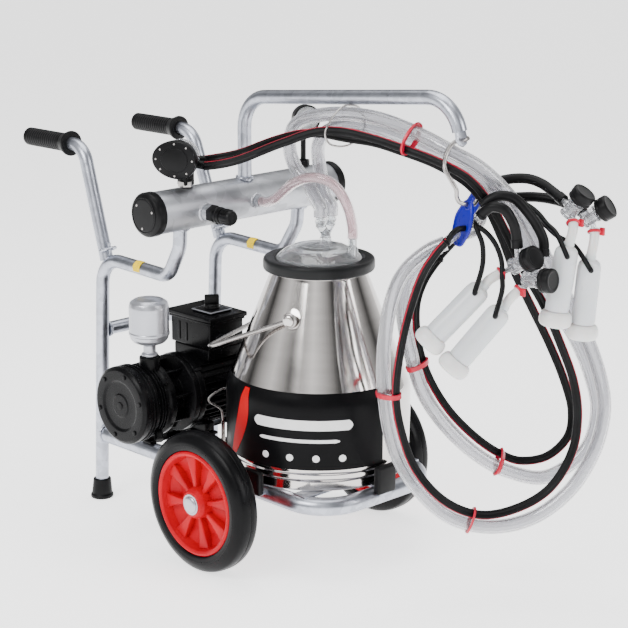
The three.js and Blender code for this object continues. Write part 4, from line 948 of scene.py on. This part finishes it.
def bucket():
    profile = [(142, 149), (150, 149), (150, 152), (149.6, 166.5), (155, 169), (157.2, 172.5), (157.2, 180),
               (161, 184), (163, 190), (163, 298), (161, 308), (155, 322), (86, 499), (84.2, 504),
               (84.2, 508), (88, 511), (88, 513), (86, 514), (83, 513.4), (81, 503), (152, 321), (160, 300),
               (160, 192), (150, 187), (0, 184), (0, 180), (142, 177), (142, 149)]
    shell = lathe(profile, (BUCKET_X, 0, 0), UP, 128, 5)
    shapes = [shell]
    for side in (-1, 1):
        out = EAR * side
        turn = Matrix.Rotation(math.atan2(out.y, out.x), 4, "Z")
        tilt = Matrix.Rotation(-0.37, 4, "Y")
        outline = [(18 * math.cos(angle), 15 * math.sin(angle)) for angle in spread(24)]
        base = Matrix.Translation((BUCKET_X, 0, 0)) @ turn @ Matrix.Translation((106.5, 0, EAR_Z - 1)) @ tilt
        shapes.append(plate(outline, 3.5, base @ Matrix.Rotation(math.pi / 2, 4, "Y"), 1))
        centre = Vector((BUCKET_X, 0, EAR_Z))
        shapes.append(rod(centre + out * 106, centre + out * (EAR_REACH + 5.6), 6.8, 28))
        shapes.append(lathe([(0, 0), (10, 0), (9.4, 2.6), (6, 4), (0, 4.2)],
                            centre + out * (EAR_REACH + 4.6), out, 28, 0.8))
    fine("milk_bucket", shapes, STAINLESS, sharp=40)


LABEL_R, LABEL_THICK, MARK_LIFT = 163.7, 0.3, 0.4
LABEL_ROWS, LABEL_COLUMN = 16, 2.5  # rows, and degrees to a column
LABEL_LOW, LABEL_HIGH = 191, 325
SHOULDER = [(0, 0), (293, 0), (303, 0.9), (308, 2.0), (322, 8.0), (502, 79)]


def shoulder(z):
    """How far the bucket has drawn in from its full radius at a height."""
    for (low, near), (high, far) in zip(SHOULDER, SHOULDER[1:]):
        if z <= high:
            return near + (far - near) * (z - low) / (high - low)


def band(name, first, last, low, high, radius, look, slot="black_plastic", edge=None):
    """A thin curved patch of the bucket's side; edge(rise) gives its own two angles at each height."""
    columns, rows = max(3, int(abs(last - first) / LABEL_COLUMN)), LABEL_ROWS
    points, faces = [], []
    for lift in (0.0, LABEL_THICK):
        for i in range(columns + 1):
            for k in range(rows + 1):
                rise = k / rows
                left, right = edge(rise) if edge else (first, last)
                angle = math.radians(left + (right - left) * i / columns)
                z = low + (high - low) * rise
                reach = radius + lift - shoulder(z)
                points.append(Vector((BUCKET_X + reach * math.cos(angle), reach * math.sin(angle), z)))
    step = rows + 1
    layer = (columns + 1) * step
    for i in range(columns):
        for k in range(rows):
            a = i * step + k
            faces.append([a, a + 1, a + step + 1, a + step])
            faces.append([layer + a, layer + a + step, layer + a + step + 1, layer + a + 1])
    for i in range(columns):
        for a, b in ((i * step, (i + 1) * step), ((i + 1) * step + rows, i * step + rows)):
            faces.append([a, b, layer + b, layer + a])
    for k in range(rows):
        for a, b in ((k + 1, k), (columns * step + k, columns * step + k + 1)):
            faces.append([a, b, layer + b, layer + a])
    build(name, [(points, faces, 0)], look)


def stripe_edge(rise):
    """The curved stripe's two angles, in degrees, at a height from 0 to 1."""
    middle = -108 + 9 * rise + 5 * math.sin(2.4 * rise)
    half = 1.2 + 4.2 * math.sin(math.pi * min(1, 0.12 + 0.8 * rise))
    return middle - half, middle + half


def bar_edge(first, last):
    """A bar whose ends bulge at mid height."""
    def edge(rise):
        bulge = 2.4 * (1 - (2 * rise - 1) ** 2)
        return first - bulge, last + bulge
    return edge


def disc_edge(middle):
    def edge(rise):
        half = 2.2 * math.sqrt(max(0.01, 1 - (2 * rise - 1) ** 2))
        return middle - half, middle + half
    return edge


def bucket_label():
    """Plain black band with a curved red stripe and pale marks, in place of the printed one."""
    band("bucket_label", -170, -2, LABEL_LOW, LABEL_HIGH, LABEL_R, LABEL_BLACK)
    band("label_stripe", 0, 7, LABEL_LOW + 4, LABEL_HIGH - 5, LABEL_R + MARK_LIFT, LABEL_RED, "red_plastic",
         stripe_edge)
    for number, (first, last, low, high) in enumerate(((-84, -26, 262, 280), (-80, -34, 240, 246))):
        band(f"label_bar_{number}", first, last, low, high, LABEL_R + MARK_LIFT, LABEL_WHITE, "milky_plastic",
             bar_edge(first, last))
    for number, middle in enumerate((-78, -62, -46, -30)):
        band(f"label_disc_{number}", 0, 6, 206, 218.5, LABEL_R + MARK_LIFT, LABEL_WHITE, "milky_plastic",
             disc_edge(middle))


def bail():
    drop, length = math.radians(22.6), 176
    back = Vector((EAR.y * math.cos(drop), -EAR.x * math.cos(drop), -math.sin(drop)))
    centre = Vector((BUCKET_X, 0, EAR_Z))

    def at(side, along):
        return centre + EAR * (side * EAR_REACH) + back * along

    wire = bent([at(1, 9), at(1, length), at(-1, length), at(-1, 9)], [26, 26], 10)
    shapes = [tube(wire, 4, 20)]
    for side in (-1, 1):
        shapes.append(ring(at(side, 0), EAR, 10.4, 2.9, 32))
    fine("bail_handle", shapes, WIRE, "bail")


def lid():
    gasket = lathe([(88.8, 508), (96.5, 508), (98, 511), (98, 523), (96.6, 527.4), (93, 529), (80, 529),
                    (77, 524.4), (60, 524.4), (60, 514.4), (88.8, 514.4), (88.8, 508)],
                   (BUCKET_X, 0, 0), UP, 96, 1.8)
    fine("lid_gasket", [gasket], GASKET_RUBBER)
    dome = lathe([(0, 548), (29, 546), (52, 539), (66, 527), (74.5, 524.6), (76, 527), (72, 531.5), (60, 541),
                  (45, 548), (30, 551.6), (14, 553.4), (0, 554)], (BUCKET_X, 0, 0), UP, 80, 3)
    shapes = [dome]
    x, y = BUCKET_X, LID_PORT_Y
    shapes.append(lathe([(5, 546), (10, 546), (10, 560), (8.4, 562), (8.4, 572), (5, 572), (5, 546)],
                        (x, y, 0), UP, 32, 0.8))
    for side in (-1, 1):
        shapes.append(rod((x, y, 566), (x, y + side * 13, 584), 7.6, 24))
        shapes.append(lathe([(4, 580), (8, 580), (8, 586), (9.6, 588), (9.6, 591), (8, 593), (8, 597.6),
                             (4, 597.6), (4, 580)], (x, y + side * 13, 0), UP, 28, 0.6))
    shapes.append(lathe([(4, 536), (10, 536), (9, 549), (7, 552), (7, 566), (4, 566), (4, 536)],
                        (492, 22, 0), UP, 28, 0.8))
    fine("lid_dome", shapes, CLEAR_LID)
    dip_route = [(x, y, 545), (x + 2, y - 2, 480), (x + 6, y - 4, 380), (x + 8, y - 4, 300)]
    dip = tube(flow(dip_route, 8), 6, 20, 1.5)
    build("dip_tube", [dip], CLEAR_BODY)


def bucket_clip():
    """Spring wire on two strips that keeps the bucket from sliding toward the motor."""
    path = flow([(266, -79, 190), (266, -80, 205), (265, -84, 228), (265, -112, 250), (265, -113, 256),
                 (267, -78, 268), (278, -63, 267)], 6)
    shapes = [tube(path, 1.9, 12)]
    for y in (-80, -66):
        shapes.append(block((1.6, 9, 64), (266, y, 175), 0.4))
    shapes.append(block((58, 28, 3), (292, -73, 142), 0.6))
    build("bucket_clip", shapes, WIRE)


bucket()
bucket_label()
bucket_clip()
bail()
lid()


# ---------- clusters ----------
PLATE_UP = Vector((0.16, 0.16, 0.97)).normalized()
BOWL_AXIS = Vector((0.28, 0.92, -0.2)).normalized()
CUPS = [
    dict(tube=[(796, 2, 655), (802, 3, 662), (817, 7, 672), (833, 15, 669), (842, 23, 653), (846, 30, 633),
               (847, 34, 607)],
         cap=(873, 38, 592), face=(0.88, -0.03, 0.45),
         milk=[(816, -11, 545), (823, -4, 556), (830, 5, 563), (836, 14, 568)],
         top=(815, -12, 544), axis=(-0.47, -0.49, -0.74)),
    dict(tube=[(791, 13, 668), (797, 18, 677), (812, 28, 686), (830, 42, 683), (845, 55, 664), (857, 68, 640),
               (867, 75, 614), (869, 73, 590)],
         cap=(899, 49, 559), face=(0.95, 0.12, 0.1),
         milk=[(848, 2, 512), (852, 8, 524), (858, 17, 535), (863, 28, 543)],
         top=(847, 1, 511), axis=(-0.44, -0.44, -0.78)),
    dict(tube=[(730, 94, 678), (740, 106, 688), (758, 124, 694), (782, 138, 695), (806, 142, 690),
               (832, 140, 680), (856, 137, 670)],
         cap=(892, 138, 682), face=(0.56, 0.15, 0.8),
         milk=[(891, 108, 605), (893, 112, 618), (891, 119, 632), (884, 127, 643)],
         top=(890, 107, 604), axis=(-0.07, -0.11, -0.99)),
    dict(tube=[(732, 100, 656), (742, 114, 660), (762, 136, 662), (788, 156, 663), (822, 168, 660),
               (852, 166, 655), (878, 161, 650)],
         cap=(918, 166, 662), face=(0.78, 0.29, 0.55),
         milk=[(910, 142, 581), (911, 146, 598), (909, 152, 614), (904, 157, 628)],
         top=(910, 142, 580), axis=(-0.05, -0.05, -1)),
]
CLAWS = {
    "near": (Vector((767, -10, 641)), NEAR_MILK_ROUTE[-1], CUPS[:2]),
    "far": (Vector((715, 69, 637)), FAR_MILK_ROUTE[-1], CUPS[2:]),
}


def claw(word):
    centre, outlet, cups = CLAWS[word]
    across = PLATE_UP.cross(BOWL_AXIS).normalized()
    ahead = across.cross(PLATE_UP).normalized()
    place = Matrix.Translation(centre) @ Matrix((across, PLATE_UP, ahead)).transposed().to_4x4()
    corners = [(-10, 41), (8, 38), (25, 8), (22, -26), (8, -40), (-12, -38), (-25, -10), (-22, 20)]
    outline = [tuple(p) for p in rounded(corners + [corners[0]], 9, 5)[:-1]]
    base = plate(outline, 3.4, place @ Matrix.Translation((0, 0, 1.4)), 1)
    rim = tube([place @ Vector((x * 0.93, y * 0.93, 2)) for x, y in outline + outline[:2]], 2.6, 10)
    angles = [math.tau * k / 24 for k in range(26)]
    slot = tube([place @ Vector((9 * math.cos(a) - 2, 31 + 7 * math.sin(a), 2)) for a in angles], 2, 10)
    fine(f"claw_{word}", [base, rim, slot], BLUE_PLASTIC)
    bowl = lathe([(0, 5), (21, 5), (22.6, 7), (22.6, 10), (21, 11), (20.4, 16), (17.6, 24), (10, 31),
                  (0, 33)], (0, 0, 0), UP, 48, 1)
    bowl = shift(bowl, place @ Matrix.Translation((0, -5, 0)))
    heart = place @ Vector((0, -5, 16))
    shapes = [bowl]
    for end, radius in [(outlet, 7)] + [(Vector(cup["tube"][0]), 4.8) for cup in cups]:
        line = (end - heart).normalized()
        shapes.append(rod(heart + line * 6, end - line * 1.5, radius, 24))
        shapes.append(ring(end - line * 5, line, radius, 1.0, 24))
    build(f"claw_bowl_{word}", shapes, CLEAR_BODY)


def valve_points(cup):
    """The way a valve faces, and where its cap, its body's top and its body's end are."""
    face = Vector(cup["face"]).normalized()
    underside = Vector(cup["cap"]) - face * 10
    body_top = underside - face * 6
    return face, underside, body_top, body_top - face * 26


def claw_tube(number, cup):
    face, underside, body_top, body_end = valve_points(cup)
    path = flow(cup["tube"], 8)
    middle = body_top.lerp(body_end, 0.5)
    black = [tube(path, 8.5, 24, 2.8)]
    black.extend(tube([path[end].lerp(path[end + back], t) for t in (0, 0.5, 1)], 9.6, 24, 2)
              for end, back in ((-1, -4), (0, 4)))
    fine(f"claw_tube_{number}", black, BLACK_RUBBER)
    last = Vector(cup["milk"][-1])
    away = (last - middle).normalized()
    shapes = [lathe([(4.8, 0), (14, 0), (14, 3), (12.4, 4.5), (12.4, 21), (14, 23), (14, 26), (4.8, 26),
                     (4.8, 0)],
                    body_end, face, 40, 0.8),
              rod(path[-2], middle, 5, 24), rod(middle, last - away * 1.5, 4.5, 24)]
    build(f"valve_body_{number}", shapes, CLEAR_BODY)
    cap = lathe([(0, -8.2), (4.4, -8.2), (4.4, 0), (18.6, 0), (20, 1.6), (20, 4), (19.3, 5), (19.3, 7),
                 (20, 8), (20, 18), (18.4, 20), (15, 20), (14, 19.4), (0, 19.4)], underside, face, 56, 0.8)
    fine(f"valve_cap_{number}", [cap], BLACK_PLASTIC, f"valve_{number}")


def teat_cup(number, cup):
    axis = Vector(cup["axis"]).normalized()
    top = Vector(cup["top"])
    shell = lathe([(10.5, 0), (13, 0.6), (17.5, 5), (19.4, 13), (19.5, 20), (19.5, 104), (18.9, 106),
                   (17.8, 106), (17.8, 19), (14, 8), (10.5, 4), (10.5, 0)], top, axis, 48, 2)
    fine(f"cup_shell_{number}", [shell], MILKY)
    liner = lathe([(0, -2), (10, -2), (10, 6), (12.3, 16), (12.3, 104), (17, 106.3), (20.6, 107), (24, 109.5),
                   (26.4, 115), (27, 121), (26.2, 127), (22.6, 131.6), (16, 133), (12, 130), (10.6, 120),
                   (10.6, 24), (0, 18)], top, axis, 48, 2.5)
    tube_path = flow(cup["milk"], 8)
    neck = tube(tube_path, 8, 24)
    collar = tube([tube_path[0].lerp(tube_path[3], t) for t in (0, 0.5, 1)], 9, 24)
    fine(f"cup_liner_{number}", [liner, neck, collar], SILICONE)
    end = tube_path[-1]
    along = (tube_path[-1] - tube_path[-3]).normalized()
    clip = [ring(end - along * 5, along, 9.3, 2.5, 28)]
    side = along.cross(UP).normalized()
    clip.append(shift(block((9, 5, 13), (0, 0, 0), 1.2), Matrix.Translation(end - along * 5 + side * 13)))
    build(f"neck_clip_{number}", clip, RED_CLIP)


def s_hook():
    route = [(768, 0, 777), (761, 0, 773), (754, 0, 771.6), (747, -3, 770), (742, -13, 762), (742, -24, 746),
             (748, -32, 730), (760, -30, 712), (768, -26, 697), (766, -22, 684), (767, -17, 676),
             (770, -11, 672.5), (774, 0, 670), (777, 8, 671), (778, 13, 677)]
    fine("s_hook", [tube(flow(route, 8), 3.5, 16)], WIRE)


PULSE_TUBES = {
    1: [(778, 4, 646), (788, -2, 641), (797, -4, 629), (805, -4, 615), (812, -8, 598), (817, -16, 576)],
    2: [(784, -6, 640), (800, 2, 634), (820, 8, 616), (836, 8, 590), (846, 0, 562), (850, -4, 545)],
    3: [(744, 97, 660), (773, 112, 662), (798, 116, 657), (822, 115, 647), (843, 111, 634), (870, 102, 624)],
    4: [(740, 104, 648), (773, 121, 651), (798, 124, 645), (824, 127, 629), (850, 130, 612), (884, 132, 601)],
}


def pulse_tube(number, cup):
    """Thin black tube from the claw to a nipple on the shell of its cup."""
    axis = Vector(cup["axis"]).normalized()
    out = Vector((0.714, -0.70, 0.5))
    out = (out - axis * out.dot(axis)).normalized()
    root = Vector(cup["top"]) + axis * 12 + out * 16
    path = flow(PULSE_TUBES[number] + [tuple(root + out * 9), tuple(root)], 8)
    piece = build(f"pulse_link_{number}", [tube(path, 4.2, 20, 1.4)], BLACK_RUBBER)


PULSE_ELBOWS = {
    "near": [(764, -47, 612), (768, -43, 618), (772, -38, 628), (775, -28, 634), (776, -12, 634)],
    "far": [(677, 35, 556), (679, 41, 562), (684, 52, 574), (694, 66, 592), (706, 78, 608), (716, 84, 620)],
}


def pulse_elbow(word):
    """Moulded end that takes the twin tube into the claw."""
    path = flow(PULSE_ELBOWS[word], 6)
    build(f"pulse_elbow_{word}", [tube(path, 5, 20), ring(path[3], path[4] - path[2], 6.2, 2, 24)],
          BLACK_PLASTIC)


def hose_ring():
    """Wire ring that hangs from the arch and carries the hoses."""
    outline = [(0, 801), (-14, 803.5), (-34, 797), (-56, 778), (-66, 760), (-57, 744), (-36, 736), (-12, 735),
               (10, 742), (29, 755), (32, 770), (25, 786), (11, 798), (0, 801), (-14, 803.5)]
    path = flow([(512, y, z) for y, z in outline], 6)
    build("hose_ring", [tube(path, 1.7, 12)], WIRE)


# Where each strap sits: millimetres across the loops' plane from LOOPS_X, and height.
TIE_SPOTS = ((-78, 768), (-109, 348), (-62, 388), (79, 225), (30, 135))
LOOPS_X, LOOPS_ALONG_X, LOOPS_ALONG_Y = 757, 0.7, 0.714
TIE_STEPS, TIE_HALF_WIDE = 40, 14.3
TIE_SECTION = [(1.7, 4), (-1.7, 4), (-1.7, -4), (1.7, -4)]


def spot_gap(point, spot):
    """How far a hose point is from a strap's place, squared."""
    across, high = spot
    along = (point.x - LOOPS_X) * LOOPS_ALONG_X + point.y * LOOPS_ALONG_Y
    return (along - across) ** 2 + (point.z - high) ** 2


def hose_ties():
    """Red straps that hold each twin tube to its milk hose."""
    pairs = [[flow(route, HOSE_STEPS) for route in pair]
             for pair in ((NEAR_MILK_ROUTE, NEAR_TWIN_ROUTE), (FAR_MILK_ROUTE, FAR_TWIN_ROUTE))]
    for number, spot in enumerate(TIE_SPOTS, 1):
        milk, twin = min(pairs, key=lambda pair: min(spot_gap(p, spot) for p in pair[0]))
        at = min(range(1, len(milk) - 1), key=lambda i: spot_gap(milk[i], spot))
        here, along = milk[at], (milk[at + 1] - milk[at - 1]).normalized()
        near = min(twin, key=lambda p: (p - here).length)
        gap = (near - here) - along * (near - here).dot(along)
        long = gap.normalized()
        wide = along.cross(long)
        half = (gap.length + MILK_HOSE_R + 9) / 2
        middle = here + long * (half - MILK_HOSE_R - 2)
        loop = []
        for k in range(TIE_STEPS + 2):
            angle = math.tau * k / TIE_STEPS
            loop.append(middle + long * (half * math.cos(angle)) + wide * (TIE_HALF_WIDE * math.sin(angle)))
        build(f"hose_tie_{number}", [sweep(loop, TIE_SECTION)], RED_CLIP)


for word in CLAWS:
    claw(word)
for number, cup in enumerate(CUPS, 1):
    claw_tube(number, cup)
    teat_cup(number, cup)
    pulse_tube(number, cup)
for word in PULSE_ELBOWS:
    pulse_elbow(word)
s_hook()
hose_ring()
hose_ties()


# ---------- stage, in metres ----------
FLOOR_REACH, FLOOR_DROP = 60.0, 0.0006
FLOOR_GLOW = 1.7
WALL_SEEN, WORLD_STRENGTH = 2.2, 0.8
# Position round the room and brightness of each stop.
WALLS = [(0.0, 0.9), (0.09, 0.06), (0.19, 1.5), (0.26, 0.04), (0.35, 1.8), (0.46, 0.05), (0.57, 1.2),
         (0.66, 0.07), (0.78, 1.8), (0.88, 0.08), (1.0, 0.9)]


def make_stage():
    mesh = bpy.data.meshes.new("floor")
    reach = FLOOR_REACH
    corners = [(-reach, -reach, 0), (reach, -reach, 0), (reach, reach, 0), (-reach, reach, 0)]
    mesh.from_pydata(corners, [], [(0, 1, 2, 3)])
    floor = bpy.data.objects.new("floor", mesh)
    floor.location.z = -FLOOR_DROP
    paint, tree, shader = start_material("floor_paint", (0.93, 0.93, 0.93), 0.65, 0.0)
    vary_rough(tree, shader, noise_node(tree, 3, 3), 0.6, 0.7)
    shader.inputs["Emission Color"].default_value = (1, 1, 1, 1)
    shader.inputs["Emission Strength"].default_value = FLOOR_GLOW
    mesh.materials.append(paint)
    bpy.context.scene.collection.objects.link(floor)


def make_light(name, at, aim, size, power):
    data = bpy.data.lights.new(name, "AREA")
    data.shape = "RECTANGLE"
    data.size, data.size_y = size
    data.energy = power
    light = bpy.data.objects.new(name, data)
    bpy.context.scene.collection.objects.link(light)
    light.location = at
    light.rotation_euler = (Vector(aim) - Vector(at)).to_track_quat("-Z", "Y").to_euler()


def make_world():
    """Studio surround: bright walls and darker gaps for metal to reflect, but a plain wall to the camera."""
    world = bpy.data.worlds.new("studio")
    bpy.context.scene.world = world
    world.use_nodes = True
    tree = world.node_tree
    background = tree.nodes["Background"]
    coordinates = tree.nodes.new("ShaderNodeTexCoord")
    radial = tree.nodes.new("ShaderNodeTexGradient")
    radial.gradient_type = "RADIAL"
    ramp = tree.nodes.new("ShaderNodeValToRGB")
    while len(ramp.color_ramp.elements) < len(WALLS):
        ramp.color_ramp.elements.new(0.5)
    for element, (position, level) in zip(ramp.color_ramp.elements, WALLS):
        element.position = position
        element.color = (level, level, level, 1)
    tree.links.new(coordinates.outputs["Generated"], radial.inputs["Vector"])
    tree.links.new(radial.outputs["Fac"], ramp.inputs["Fac"])
    seen = tree.nodes.new("ShaderNodeLightPath")
    choice = tree.nodes.new("ShaderNodeMixRGB")
    choice.inputs["Color2"].default_value = (WALL_SEEN, WALL_SEEN, WALL_SEEN, 1)
    tree.links.new(seen.outputs["Is Camera Ray"], choice.inputs["Fac"])
    tree.links.new(ramp.outputs["Color"], choice.inputs["Color1"])
    tree.links.new(choice.outputs["Color"], background.inputs["Color"])
    background.inputs["Strength"].default_value = WORLD_STRENGTH


make_stage()
make_world()
make_light("key", (0.2, -2.6, 2.4), (0, 0, 0.4), (1.6, 1.2), 70)
make_light("fill", (2.8, 1.0, 1.8), (0, 0, 0.4), (1.4, 1.6), 45)
make_light("top", (-0.2, 0.2, 3.0), (0, 0, 0.3), (2.2, 2.2), 60)
